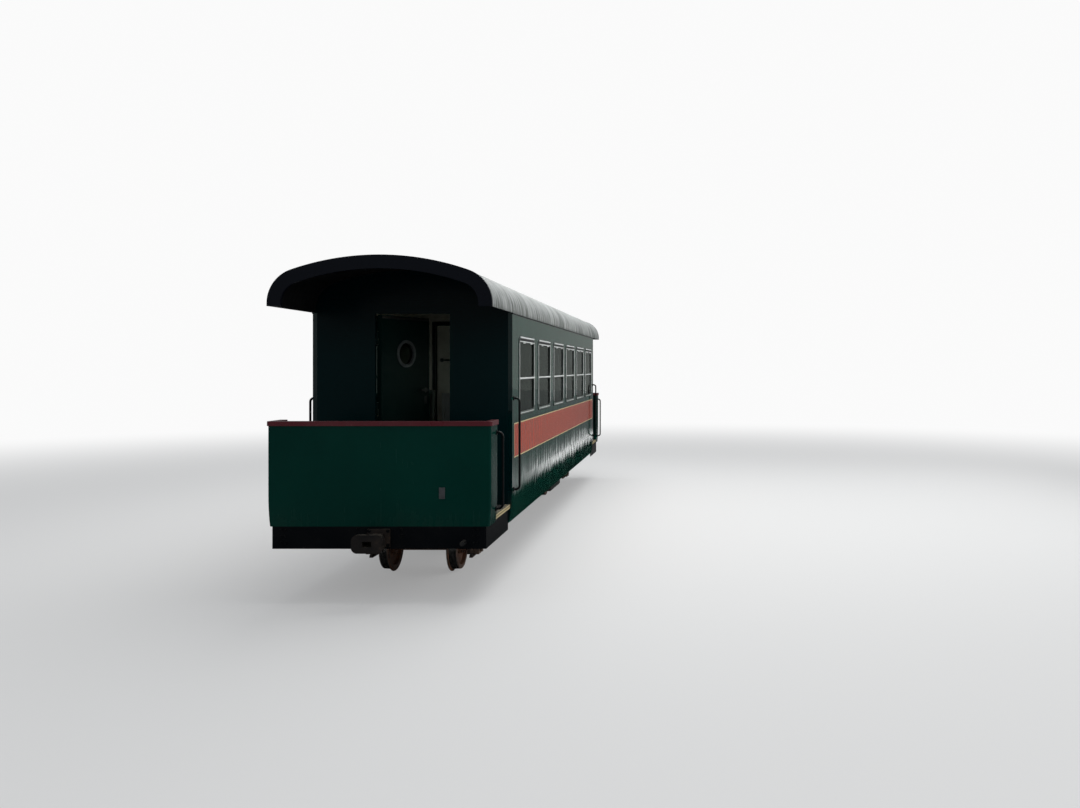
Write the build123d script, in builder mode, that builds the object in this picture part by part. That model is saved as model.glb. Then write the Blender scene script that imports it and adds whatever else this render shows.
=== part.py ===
from build123d import *
import math
import os

# Narrow-gauge passenger coach on two bogies, with an open balcony at each end.
# X runs along the coach, Y across it and Z up, in millimetres. The wheel flanges stand
# at z = 0. The front end, with its door standing open, is at -X. Left (+Y) and right (-Y)
# are as seen by someone who stands before the front end and looks along +X.

os.makedirs("parts", exist_ok=True)

# Body
body_width = 1900
cabin_length = 7120
wall = 40
turn_drop = 220  # from the floor up to where the side starts to curve under
turn_radius = 2400
skirt_drop = 170  # side panel below the floor
fit_gap = 0.5  # between curved pieces of the body that lie against each other
floor_thickness = 40

# Running gear heights
tread_radius = 230
flange_depth = 20
floor_above_rail = 690

# Roof
eave_height = 1830  # above the floor
roof_rise = 435
roof_overhang = 918
roof_proud = 5
roof_thickness = 30
eave_straight = 25
corner_radius = 300
rim_depth = 113
rim_thickness = 32
rim_proud = 4

# Windows
window_count = 6
window_pitch = 1118
window_width = 870
window_height = 780
window_sill = 838  # above the floor
window_corner = 60
frame_bar = 24
frame_sill = 30
frame_head = 56
glazing_bar_height = 362  # its middle above the window's lower edge
light_corner = 38
frame_proud = 6
frame_depth = 46
glass_thickness = 6
glass_lap = 8
glass_gap = 0.5
glass_ledge = 14  # from the frame's outer face in to the glass

# Doors, their hinges and handles
doorway_width = 710
doorway_height = 1820
leaf_thickness = 36
leaf_gap = 7  # at each jamb
leaf_head_gap = 8
leaf_floor_gap = 7
door_open = 67  # degrees that the front door stands open
porthole_radius = 115
porthole_height = 1445  # above the floor
ring_lap = 20
ring_proud = 8
ring_lip = 9  # from the hole's edge in over the glass
hinge_offset = 11  # from the face that carries the hinge out to its axis
knuckle_radius = 8
knuckle_length = 60
knuckle_gap = 1
hinge_pin_radius = 4
hinge_pin_gap = 0.05
hinge_end_inset = 220  # from the leaf's ends to the upper and lower hinge
strap_thickness = 4
door_strap = 105
jamb_strap = 42
handle_height = 1080
handle_inset = 58
rose_radius = 24
rose_thickness = 6
lever_neck = 9
lever_reach = 34
lever_thickness = 12
lever_width = 20
lever_length = 118

# Partition across the cabin
partition_thickness = 36
partition_door_y = 100
partition_frame_width = 50
partition_frame_proud = 8
partition_handle_height = 1400

# Balcony
panel_top = 810  # above the floor
panel_drop = 45
panel_corner = 18
return_depth = 250
cap_height = 40
cap_width = 64
cap_proud = 10
cap_corner = 26
cap_edge = 4
tread_width = 46
tread_thickness = 6
tread_drop = 31
deck_inset = 14  # deck edge behind the body's outline

# Handrails
rail_radius = 11
rail_reach = 55
rail_bend = 36
rail_base_radius = 23
rail_base_thickness = 6
body_rail_inset = 75  # from the cabin's end
return_rail_inset = 30  # from the return's edge
body_rail_low = 140  # above the floor
body_rail_high = 1015
return_rail_low = 75
return_rail_high = 740

# Underframe
sole_height = 180
sole_width = 60
sole_web = 10
sole_setback = 100  # outer face of the sole bar from the body's widest line
headstock_height = 190
headstock_web = 16
headstock_flange = 70
inner_bearer = 500
outer_bearer = 1500
end_bearer = 3450
bearer_height = 100
bearer_width = 50
bearer_web = 8
draw_spacing = 300
draw_height = 120
bolster_length = 260
valance_thickness = 10
valance_setback = 36
outrigger_length = 80
outrigger_height = 100

# Centre plates and side bearers
centre_plate_top = 540
centre_plate_radius = 110
upper_plate_thickness = 20
lower_plate_thickness = 40
pin_radius = 30
pin_gap = 0.05
pin_height = 90
pin_end_gap = 10
bearer_gap = 7
side_bearer_y = 400
upper_bearer_length = 120
upper_bearer_width = 100
lower_bearer_length = 100
lower_bearer_width = 80

# Bogies
bogie_spacing = 5200
wheelbase = 1150
frame_plate = 20
frame_y = 490  # middle of the side plate from the centre line
frame_top = 455
frame_end_margin = 13  # of the side plate past the springs
plate_depth = 155
plate_corner = 30
arch_radius = 90
horn_width = 44
horn_bottom = 150
keeper_height = 24
keeper_proud = 6
slot_clear = 12  # over the axlebox
box_play = 1
transom_x = 200
transom_web = 20
transom_height = 140
transom_drop = 15
transom_flange = 70
transom_flange_thickness = 18
bogie_bolster_width = 220
bogie_bolster_height = 120
bogie_bolster_end = 70  # its height at the side plates

# Wheelsets
track_gauge = 610
gauge_play = 3
flange_thickness = 22
flange_round = 6
wheel_width = 100
tyre_thickness = 42
tread_fall = 4  # taper of the tread
tread_chamfer = 4
hub_radius = 78
hub_proud = 6
web_thickness = 28
axle_radius = 46
axle_shoulder = 40  # beyond the wheel's outer face
journal_radius = 35
journal_gap = 0.05
journal_end_gap = 1

# Axleboxes and springs
box_width = 150
box_height = 150
box_depth = 116
box_offset = 10  # middle of the box outside the side plate's
journal_wall = 6
cover_radius = 52
cover_thickness = 16
saddle_length = 90
saddle_height = 16
leaf_count = 5
leaf_plate = 9
leaf_width = 60
leaf_half_length = 232
leaf_step = 40
leaf_radius = 900
spring_clear = 4  # between the spring and the side plate
buckle_length = 56
buckle_wrap = 6
shackle_inset = 20
shackle_width = 22
shackle_depth = 40
lug_length = 40
lug_height = 18
lug_reach = 62

# Brake gear
block_gap = 6
block_thickness = 44
block_width = 64
block_half_angle = 20
block_flange_gap = 8
brake_hanger_length = 24
brake_hanger_width = 30
brake_beam_width = 30
brake_beam_height = 44
brake_beam_gap = 12
brake_rod_width = 40
brake_rod_height = 30
bracket_length = 120
bracket_width = 40

# Couplers
coupler_drop = 140  # below the floor
coupler_base_thickness = 20
coupler_base_width = 190
coupler_base_height = 150
shank_size = 80
buffer_width = 260
buffer_height = 150
buffer_corner = 50
buffer_reach = 300
buffer_thickness = 60
coupler_head_length = 130
coupler_head_width = 110
coupler_head_height = 120
slot_depth = 100
slot_width = 76
slot_height = 46
coupler_pin_radius = 16

# Brake pipe, vacuum cylinder and battery box
pipe_radius = 24
pipe_inset = 70  # from the sole bar
pipe_z = 530
pipe_gap = 1
stub_reach = 70
nipple_radius = 20
nipple_length = 60
pipe_clip_length = 30
pipe_clip_width = 12
cylinder_radius = 190
cylinder_height = 240
cylinder_inset = 490  # from the sole bar to its middle
cylinder_flange = 18
cylinder_flange_thickness = 16
cylinder_rod_radius = 30
cylinder_rod_reach = 30
battery_length = 900
battery_width = 400
battery_height = 260
battery_corner = 12
battery_inset = 110  # from the sole bar to its side
carrier_thickness = 16
carrier_width = 120
carrier_end = 60
carrier_drop = 16  # from the bearers to the carriers

# Seats
bay_middles = (-2000, 420, 1920)
seat_back_out = 700  # seat back from the bay's middle
seat_depth = 430
seat_height = 400
seat_back_top = 1040
seat_recline = 55
double_width = 850
single_width = 470
seat_board = 15
seat_end_thickness = 22
seat_end_margin = 18  # of the end panel round the boards
seat_end_corner = 12
seat_foot_length = 330
cushion_thickness = 60
cushion_margin = 5
pad_thickness = 45
pad_gap = 12
seat_wall_gap = 8

# Levels and places worked out from the sizes above
half_width = body_width / 2
axle_height = tread_radius + flange_depth
floor_top = flange_depth + floor_above_rail
floor_bottom = floor_top - floor_thickness
turn_top = floor_top + turn_drop
eave = floor_top + eave_height
roof_top = eave + roof_rise
roof_half_width = half_width + roof_proud
cabin_end = cabin_length / 2
body_end = cabin_end + roof_overhang
pivot = bogie_spacing / 2
panel_bottom = floor_top - panel_drop
headstock_bottom = panel_bottom - headstock_height
sole_outer = half_width - sole_setback
sole_inner = sole_outer - sole_width
pipe_y = pipe_inset - sole_inner
cylinder_y = sole_inner - cylinder_inset
battery_y = battery_inset + battery_width / 2 - sole_inner
frame_half_length = wheelbase / 2 + leaf_half_length + frame_end_margin
entrance_start = body_end - return_depth

ends = (("front", 0), ("rear", 180))
flanks = (("right", 0), ("left", 180))


def write(piece, name):
    piece.label = name
    export_step(piece, f"parts/{name}.step")


def write_pair(piece, stem, places):
    for place, turn in places:
        write(piece.rotate(Axis.Z, turn), f"{stem}_{place}")


def outline_y(z, inset=0):
    # Half width of the body at a height, where the side curves under.
    below = max(turn_top - z, 0)
    return half_width - turn_radius + math.sqrt((turn_radius - inset) ** 2 - below**2)


def body_face(inset, bottom, top, mode=Mode.ADD):
    # The body's cross-section between two heights, set in by inset.
    half = half_width - inset
    low = outline_y(bottom, inset)
    middle_z = (turn_top + bottom) / 2
    middle = outline_y(middle_z, inset)
    with BuildLine() as outline:
        Polyline((half, turn_top), (half, top), (-half, top), (-half, turn_top))
        ThreePointArc((-half, turn_top), (-middle, middle_z), (-low, bottom))
        Line((-low, bottom), (low, bottom))
        ThreePointArc((low, bottom), (middle, middle_z), (half, turn_top))
    make_face(outline.edges(), mode=mode)


def roof_face(inset, mode=Mode.ADD):
    # The roof's cross-section: a flat crown arc, two corner arcs and short upright eaves.
    corner_y = roof_half_width - corner_radius
    corner_z = eave + eave_straight
    rise = roof_top - corner_z
    crown_radius = (corner_y**2 + rise**2 - corner_radius**2) / (2 * (rise - corner_radius))
    crown_z = roof_top - crown_radius
    angle = math.atan2(corner_z - crown_z, corner_y)
    half = roof_half_width - inset
    corner = corner_radius - inset
    crown = crown_radius - inset
    meet_y = crown * math.cos(angle)
    meet_z = crown_z + crown * math.sin(angle)
    bend_y = corner_y + corner * math.cos(angle / 2)
    bend_z = corner_z + corner * math.sin(angle / 2)
    with BuildLine() as outline:
        Polyline((-half, corner_z), (-half, eave), (half, eave), (half, corner_z))
        ThreePointArc((half, corner_z), (bend_y, bend_z), (meet_y, meet_z))
        ThreePointArc((meet_y, meet_z), (0, crown_z + crown), (-meet_y, meet_z))
        ThreePointArc((-meet_y, meet_z), (-bend_y, bend_z), (-half, corner_z))
    make_face(outline.edges(), mode=mode)


# Side panel with its windows cut, and the lower part curved under
window_places = [(index - (window_count - 1) / 2) * window_pitch for index in range(window_count)]
window_low = floor_top + window_sill
window_middle = window_low + window_height / 2

with BuildPart() as side:
    with BuildSketch(Plane.YZ.offset(-cabin_end)):
        body_face(0, floor_top - skirt_drop, eave)
        body_face(wall, floor_top - skirt_drop, eave, mode=Mode.SUBTRACT)
        with Locations((half_width, (floor_top + eave) / 2)):
            Rectangle(body_width, 2 * eave, mode=Mode.SUBTRACT)
    extrude(amount=cabin_length)
    with BuildSketch(Plane.XZ):
        with Locations(*[(x, window_middle) for x in window_places]):
            RectangleRounded(window_width, window_height, window_corner)
    extrude(amount=body_width, mode=Mode.SUBTRACT)
write_pair(side.part, "side", flanks)


# Window frames, set in the cuts: an outer ring, a deep sill, a transom and a head rail
light_width = window_width - 2 * frame_bar
lower_light = glazing_bar_height - frame_bar / 2 - frame_sill
upper_light = window_height - frame_head - glazing_bar_height - frame_bar / 2
# Each light: its height, and its middle above the window's lower edge
lights = (
    (lower_light, frame_sill + lower_light / 2),
    (upper_light, glazing_bar_height + frame_bar / 2 + upper_light / 2),
)
frame_face = -half_width - frame_proud

with BuildPart() as window_frames:
    with BuildSketch(Plane.XZ.offset(-frame_face - frame_depth)):
        with Locations(*[(x, window_middle) for x in window_places]):
            RectangleRounded(
                window_width - 2 * fit_gap, window_height - 2 * fit_gap, window_corner - fit_gap
            )
        for light_height, light_middle in lights:
            with Locations(*[(x, window_low + light_middle) for x in window_places]):
                RectangleRounded(light_width, light_height, light_corner, mode=Mode.SUBTRACT)
    extrude(amount=frame_depth)
    with BuildSketch(Plane.XZ.offset(-frame_face - frame_depth)):
        for light_height, light_middle in lights:
            with Locations(*[(x, window_low + light_middle) for x in window_places]):
                Rectangle(light_width + 2 * glass_lap, light_height + 2 * glass_lap)
    extrude(amount=frame_depth - glass_ledge, mode=Mode.SUBTRACT)
write_pair(window_frames.part, "window_frames", flanks)


# Panes, each against the ledge of its light
with BuildPart() as window_glass:
    with BuildSketch(Plane.XZ.offset(-frame_face - glass_ledge - glass_thickness)):
        pane_lap = 2 * (glass_lap - glass_gap)
        for light_height, light_middle in lights:
            with Locations(*[(x, window_low + light_middle) for x in window_places]):
                Rectangle(light_width + pane_lap, light_height + pane_lap)
    extrude(amount=glass_thickness)
write_pair(window_glass.part, "window_glass", flanks)


# Roof shell and the deep rim round each end
with BuildPart() as roof:
    with BuildSketch(Plane.YZ.offset(rim_thickness - body_end)):
        roof_face(0)
        roof_face(roof_thickness, mode=Mode.SUBTRACT)
    extrude(amount=2 * (body_end - rim_thickness))
write(roof.part, "roof")

with BuildPart() as roof_rim:
    with BuildSketch(Plane.YZ.offset(-body_end)):
        roof_face(-rim_proud)
        roof_face(rim_depth, mode=Mode.SUBTRACT)
    extrude(amount=rim_thickness)
write_pair(roof_rim.part, "roof_rim", ends)


# End bulkhead, standing on the floor between the sides, with its doorway
with BuildPart() as bulkhead:
    with BuildSketch(Plane.YZ.offset(-cabin_end)):
        body_face(wall + fit_gap, floor_top, eave)
        roof_face(roof_thickness + fit_gap)
        with Locations((0, floor_top + doorway_height / 2)):
            Rectangle(doorway_width, doorway_height, mode=Mode.SUBTRACT)
    extrude(amount=wall)
write_pair(bulkhead.part, "bulkhead", ends)


# Floor of the cabin and of both balconies
floor_half = outline_y(floor_bottom, wall)
deck_half = outline_y(floor_bottom) - deck_inset
entrance_width = entrance_start - cabin_end
entrance_middle = (entrance_start + cabin_end) / 2
deck_end = body_end - wall

with BuildPart() as floor_slab:
    with BuildSketch(Plane.XY.offset(floor_bottom)):
        Rectangle(2 * deck_end, 2 * floor_half)
        with Locations((-entrance_middle, 0), (entrance_middle, 0)):
            Rectangle(entrance_width, 2 * deck_half)
    extrude(amount=floor_thickness)
write(floor_slab.part, "floor")


# Treads along the four entrances: a strip on the deck with a lip over its edge
with BuildPart() as treads:
    with BuildSketch(Plane.YZ.offset(cabin_end)):
        for flank in (-1, 1):
            lip_y = deck_half + tread_thickness / 2
            strip_y = deck_half + tread_thickness - tread_width / 2
            with Locations((flank * lip_y, floor_top - tread_drop / 2 + tread_thickness / 2)):
                Rectangle(tread_thickness, tread_drop + tread_thickness)
            with Locations((flank * strip_y, floor_top + tread_thickness / 2)):
                Rectangle(tread_width, tread_thickness)
    extrude(amount=entrance_width)
    mirror(about=Plane.YZ)
write(treads.part, "entrance_treads")


# Balcony end panel with a short return at each side, and the cap rail on it
with BuildPart() as balcony_panel:
    with BuildSketch(Plane.YZ.offset(-body_end)):
        body_face(0, panel_bottom, floor_top + panel_top)
    extrude(amount=return_depth)
    with BuildSketch(Plane.YZ.offset(wall - body_end)):
        body_face(wall, panel_bottom, floor_top + panel_top)
    extrude(amount=return_depth, mode=Mode.SUBTRACT)
    end_edges = balcony_panel.edges().group_by(Axis.X)[0]
    fillet(end_edges.sort_by(Axis.Y)[:2] + end_edges.sort_by(Axis.Y)[-2:], radius=panel_corner)
write_pair(balcony_panel.part, "balcony_panel", ends)

with BuildPart() as cap_rail:
    with BuildSketch(Plane.XY.offset(floor_top + panel_top)) as cap_plan:
        cap_outer = half_width + cap_proud
        cap_inner = cap_outer - cap_width
        cap_start = -body_end - cap_proud
        cap_run = return_depth + 2 * cap_proud
        with Locations((cap_start + cap_run / 2, 0)):
            Rectangle(cap_run, 2 * cap_outer)
        fillet(cap_plan.vertices().group_by(Axis.X)[0], radius=cap_corner)
        with Locations((cap_start + cap_width + cap_run / 2, 0)):
            Rectangle(cap_run, 2 * cap_inner, mode=Mode.SUBTRACT)
    extrude(amount=cap_height)
    fillet(cap_rail.edges().group_by(Axis.Z)[-1], radius=cap_edge)
write_pair(cap_rail.part, "cap_rail", ends)


# Handrails of one side, two at each entrance
# Each handrail: its place along the coach, and its lower and upper feet above the floor
handrail_table = (
    (entrance_start + return_rail_inset, return_rail_low, return_rail_high),
    (cabin_end - body_rail_inset, body_rail_low, body_rail_high),
)

with BuildPart() as handrails:
    for rail_x, low_foot, high_foot in handrail_table:
        for end in (-1, 1):
            x = end * rail_x
            low_z = floor_top + low_foot
            high_z = floor_top + high_foot
            low_y = -outline_y(low_z + rail_base_radius)
            high_y = -outline_y(high_z + rail_base_radius)
            grip_y = -half_width - rail_reach
            with BuildLine() as rail_path:
                FilletPolyline(
                    (x, low_y, low_z), (x, grip_y, low_z), (x, grip_y, high_z), (x, high_y, high_z),
                    radius=rail_bend,
                )
            with BuildSketch(Plane(origin=rail_path.line @ 0, z_dir=rail_path.line % 0)):
                Circle(rail_radius)
            sweep(path=rail_path.line)
            for foot_y, foot_z in ((low_y, low_z), (high_y, high_z)):
                with BuildSketch(Plane(origin=(x, foot_y, foot_z), z_dir=(0, -1, 0))):
                    Circle(rail_base_radius)
                extrude(amount=rail_base_thickness)
write_pair(handrails.part, "handrails", flanks)


# Lift-off hinges: the half that stays, with its pin standing up, and the half on the leaf
door_width = doorway_width - 2 * leaf_gap
leaf_bottom = floor_top + leaf_floor_gap
leaf_top = floor_top + doorway_height - leaf_head_gap
leaf_middle = (leaf_bottom + leaf_top) / 2
hinge_places = (leaf_bottom + hinge_end_inset, leaf_middle, leaf_top - hinge_end_inset)


def hinge_halves(axis_x, axis_y, toward, strap_length, level):
    # Straps on the face behind the axis, each with its knuckle, above or below the joint.
    strap_x = axis_x - hinge_offset + strap_thickness / 2
    for place in hinge_places:
        middle_z = place + level * (knuckle_length + knuckle_gap) / 2
        strap_run = strap_length - knuckle_gap
        with Locations((strap_x, axis_y + toward * (knuckle_gap + strap_run / 2), middle_z)):
            Box(strap_thickness, strap_run, knuckle_length)
        with Locations((axis_x, axis_y, middle_z)):
            Cylinder(knuckle_radius, knuckle_length)
        if level < 0:
            pin_run = knuckle_length + knuckle_gap
            with Locations((axis_x, axis_y, place - knuckle_gap / 2 + pin_run / 2)):
                Cylinder(hinge_pin_radius, pin_run)
        else:
            with Locations((axis_x, axis_y, middle_z)):
                Cylinder(hinge_pin_radius + hinge_pin_gap, 2 * knuckle_length, mode=Mode.SUBTRACT)


def lever_pair(outer_x, inner_x, lever_y, lever_z, toward):
    # A round rose, a neck and a lever on each face of a leaf.
    for face_x, out in ((outer_x, -1), (inner_x, 1)):
        with Locations((face_x + out * rose_thickness / 2, lever_y, lever_z)):
            Cylinder(rose_radius, rose_thickness, rotation=(0, 90, 0))
        with Locations((face_x + out * lever_reach / 2, lever_y, lever_z)):
            Cylinder(lever_neck, lever_reach, rotation=(0, 90, 0))
        grip_y = lever_y + toward * (lever_length / 2 - lever_neck)
        with Locations((face_x + out * (lever_reach + lever_thickness / 2), grip_y, lever_z)):
            Box(lever_thickness, lever_length, lever_width)


# End door: a flush leaf with a porthole, hung on the left jamb and opening into the cabin
leaf_inner = -(cabin_end - wall)
leaf_outer = leaf_inner - leaf_thickness
end_hinge_x = leaf_inner + hinge_offset
end_hinge_y = doorway_width / 2
porthole_z = floor_top + porthole_height

with BuildPart() as end_door:
    with BuildSketch(Plane.YZ.offset(leaf_outer)):
        with Locations((0, leaf_middle)):
            Rectangle(door_width, leaf_top - leaf_bottom)
        with Locations((0, porthole_z)):
            Circle(porthole_radius, mode=Mode.SUBTRACT)
    extrude(amount=leaf_thickness)
    hinge_halves(end_hinge_x, end_hinge_y, -1, door_strap, 1)

with BuildPart() as door_hinges:
    hinge_halves(end_hinge_x, end_hinge_y, 1, jamb_strap, -1)
write_pair(door_hinges.part, "door_hinges", ends)

with BuildPart() as door_glass:
    with BuildSketch(Plane.YZ.offset((leaf_inner + leaf_outer - glass_thickness) / 2)):
        with Locations((0, porthole_z)):
            Circle(porthole_radius - glass_gap)
    extrude(amount=glass_thickness)

with BuildPart() as porthole_rings:
    for face_x, out in ((leaf_outer, -1), (leaf_inner, 1)):
        glass_face = (leaf_inner + leaf_outer + out * glass_thickness) / 2
        ring_plane = Plane(origin=(glass_face, 0, porthole_z), z_dir=(out, 0, 0))
        with BuildSketch(ring_plane):
            Circle(porthole_radius)
            Circle(porthole_radius - ring_lip, mode=Mode.SUBTRACT)
        extrude(amount=(leaf_thickness - glass_thickness) / 2)
        with BuildSketch(ring_plane.offset((leaf_thickness - glass_thickness) / 2)):
            Circle(porthole_radius + ring_lap)
            Circle(porthole_radius - ring_lip, mode=Mode.SUBTRACT)
        extrude(amount=ring_proud)

with BuildPart() as door_handle:
    lever_pair(leaf_outer, leaf_inner, handle_inset - door_width / 2, floor_top + handle_height, 1)

end_hinge = Axis((end_hinge_x, end_hinge_y, 0), (0, 0, 1))
door_pieces = (
    ("end_door", end_door.part),
    ("door_glass", door_glass.part),
    ("porthole_rings", porthole_rings.part),
    ("door_handle", door_handle.part),
)
for stem, piece in door_pieces:
    write(piece.rotate(end_hinge, door_open), f"{stem}_front")
    write(piece.rotate(Axis.Z, 180), f"{stem}_rear")


# Partition across the cabin between two windows, with a framed doorway and its door
partition_x = -window_pitch
partition_face = partition_x + partition_thickness / 2 + partition_frame_proud
partition_hinge_x = partition_face + hinge_offset
partition_hinge_y = partition_door_y - doorway_width / 2
frame_outer_width = doorway_width + 2 * partition_frame_width
frame_outer_height = doorway_height + partition_frame_width

with BuildPart() as partition:
    with BuildSketch(Plane.YZ.offset(partition_x - partition_thickness / 2)):
        body_face(wall + fit_gap, floor_top, eave)
        roof_face(roof_thickness + fit_gap)
        with Locations((partition_door_y, floor_top + frame_outer_height / 2)):
            Rectangle(frame_outer_width, frame_outer_height, mode=Mode.SUBTRACT)
    extrude(amount=partition_thickness)
write(partition.part, "partition")

with BuildPart() as partition_frame:
    frame_run = partition_thickness + 2 * partition_frame_proud
    with BuildSketch(Plane.YZ.offset(partition_face - frame_run)):
        with Locations((partition_door_y, floor_top + frame_outer_height / 2)):
            Rectangle(frame_outer_width, frame_outer_height)
        with Locations((partition_door_y, floor_top + doorway_height / 2)):
            Rectangle(doorway_width, doorway_height, mode=Mode.SUBTRACT)
    extrude(amount=frame_run)
    hinge_halves(partition_hinge_x, partition_hinge_y, -1, jamb_strap, -1)
write(partition_frame.part, "partition_frame")

with BuildPart() as partition_door:
    with BuildSketch(Plane.YZ.offset(partition_face - leaf_thickness)):
        with Locations((partition_door_y, leaf_middle)):
            Rectangle(door_width, leaf_top - leaf_bottom)
    extrude(amount=leaf_thickness)
    hinge_halves(partition_hinge_x, partition_hinge_y, 1, door_strap, 1)
write(partition_door.part, "partition_door")

with BuildPart() as partition_handle:
    partition_handle_y = partition_door_y + door_width / 2 - handle_inset
    partition_handle_z = floor_top + partition_handle_height
    leaf_back = partition_face - leaf_thickness
    lever_pair(leaf_back, partition_face, partition_handle_y, partition_handle_z, -1)
write(partition_handle.part, "partition_handle")


# Sole bars: two channels along the coach that open inwards
frame_end = body_end - headstock_web
channel_back = sole_outer - sole_web
notch_height = floor_bottom - panel_bottom
notch_places = [(end * (body_end - wall / 2), 0, panel_bottom + notch_height / 2) for end in (-1, 1)]

with BuildPart() as sole_bars:
    with BuildSketch(Plane.YZ.offset(-frame_end)):
        for flank in (-1, 1):
            with Locations((flank * (sole_outer - sole_width / 2), floor_bottom - sole_height / 2)):
                Rectangle(sole_width, sole_height)
            with Locations((flank * (channel_back - sole_width / 2), floor_bottom - sole_height / 2)):
                Rectangle(sole_width, sole_height - 2 * sole_web, mode=Mode.SUBTRACT)
    extrude(amount=2 * frame_end)
    with Locations(*notch_places):
        Box(wall, body_width, notch_height, mode=Mode.SUBTRACT)
write(sole_bars.part, "sole_bars")


# Cross members, coped under the sole bars' flanges: tee bearers, and bolsters on the pivots
bearer_places = [end * place for end in (-1, 1) for place in (inner_bearer, outer_bearer, end_bearer)]
bolster_height = floor_bottom - centre_plate_top - upper_plate_thickness
# Each cross member: its place along the coach, its length that way and its height
members = [(place, bearer_web, bearer_height) for place in bearer_places]
members += [(end * pivot, bolster_length, bolster_height) for end in (-1, 1)]

with BuildPart() as cross_members:
    for member_x, member_length, member_height in members:
        with Locations((member_x, 0, floor_bottom - sole_web / 2)):
            Box(member_length, 2 * sole_inner, sole_web)
        with Locations((member_x, 0, floor_bottom - (sole_web + member_height) / 2)):
            Box(member_length, 2 * channel_back, member_height - sole_web)
    for bearer_x in bearer_places:
        with Locations((bearer_x, 0, floor_bottom - bearer_height + bearer_web / 2)):
            Box(bearer_width, 2 * channel_back, bearer_web)
    plate_z = centre_plate_top + upper_plate_thickness / 2
    pin_room = pin_height + pin_end_gap
    for end in (-1, 1):
        with Locations((end * pivot, 0, plate_z)):
            Cylinder(centre_plate_radius, upper_plate_thickness)
            with Locations((0, -side_bearer_y, 0), (0, side_bearer_y, 0)):
                Box(upper_bearer_length, upper_bearer_width, upper_plate_thickness)
        with Locations((end * pivot, 0, centre_plate_top + pin_room / 2)):
            Cylinder(pin_radius + pin_gap, pin_room, mode=Mode.SUBTRACT)
write(cross_members.part, "cross_members")


# Draw beams from each bolster out to the headstock, broken at the end bearer
bearer_half = bearer_width / 2
beam_runs = (
    (pivot + bolster_length / 2, end_bearer - bearer_half),
    (end_bearer + bearer_half, frame_end),
)

with BuildPart() as draw_beams:
    for end in (-1, 1):
        for start, stop in beam_runs:
            with Locations((end * (start + stop) / 2, 0, floor_bottom - draw_height / 2)):
                with Locations((0, -draw_spacing / 2, 0), (0, draw_spacing / 2, 0)):
                    Box(stop - start, sole_web, draw_height)
    with Locations(*notch_places):
        Box(wall, body_width, notch_height, mode=Mode.SUBTRACT)
write(draw_beams.part, "draw_beams")


# Headstocks, each with its lower flange, the valances round the balcony and their outriggers
headstock_y = outline_y(panel_bottom) - valance_setback + valance_thickness

with BuildPart() as headstocks:
    for end in (-1, 1):
        with Locations((end * (body_end - headstock_web / 2), 0, panel_bottom - headstock_height / 2)):
            Box(headstock_web, 2 * headstock_y, headstock_height)
        with Locations((end * (body_end - headstock_flange / 2), 0, headstock_bottom + sole_web / 2)):
            Box(headstock_flange, 2 * headstock_y, sole_web)
        for flank in (-1, 1):
            valance_y = flank * (headstock_y - valance_thickness / 2)
            with Locations((end * entrance_middle, valance_y, (floor_bottom + headstock_bottom) / 2)):
                Box(entrance_width, valance_thickness, floor_bottom - headstock_bottom)
            return_x = end * (body_end - return_depth / 2)
            with Locations((return_x, valance_y, (panel_bottom + headstock_bottom) / 2)):
                Box(return_depth, valance_thickness, headstock_height)
            outrigger_y = flank * (sole_outer + headstock_y) / 2
            with Locations((end * entrance_middle, outrigger_y, floor_bottom - outrigger_height / 2)):
                Box(outrigger_length, headstock_y - sole_outer, outrigger_height)
    with Locations((0, pipe_y, pipe_z)):
        Cylinder(pipe_radius + pipe_gap, 2 * body_end, rotation=(0, 90, 0), mode=Mode.SUBTRACT)
write(headstocks.part, "headstocks")


# Bogie frame: two plates with horn guides, transoms, and a bolster with its centre pin
plate_low = frame_top - plate_depth
slot_top = axle_height + box_height / 2 + slot_clear
slot_width_x = box_width + 2 * box_play
horn_outer = box_width + 2 * horn_width
plate_inner = frame_y - frame_plate / 2
plate_outer = frame_y + frame_plate / 2
bolster_top = centre_plate_top - lower_plate_thickness
transom_top = frame_top - transom_drop
transom_face = transom_x - transom_web / 2
shackle_x = leaf_half_length - shackle_inset
block_radius = tread_radius + block_gap
wheel_back = track_gauge / 2 - gauge_play - flange_thickness
block_y = wheel_back + flange_thickness + block_flange_gap + block_width / 2
beam_x = wheelbase / 2 - block_radius - block_thickness - brake_beam_gap

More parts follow.
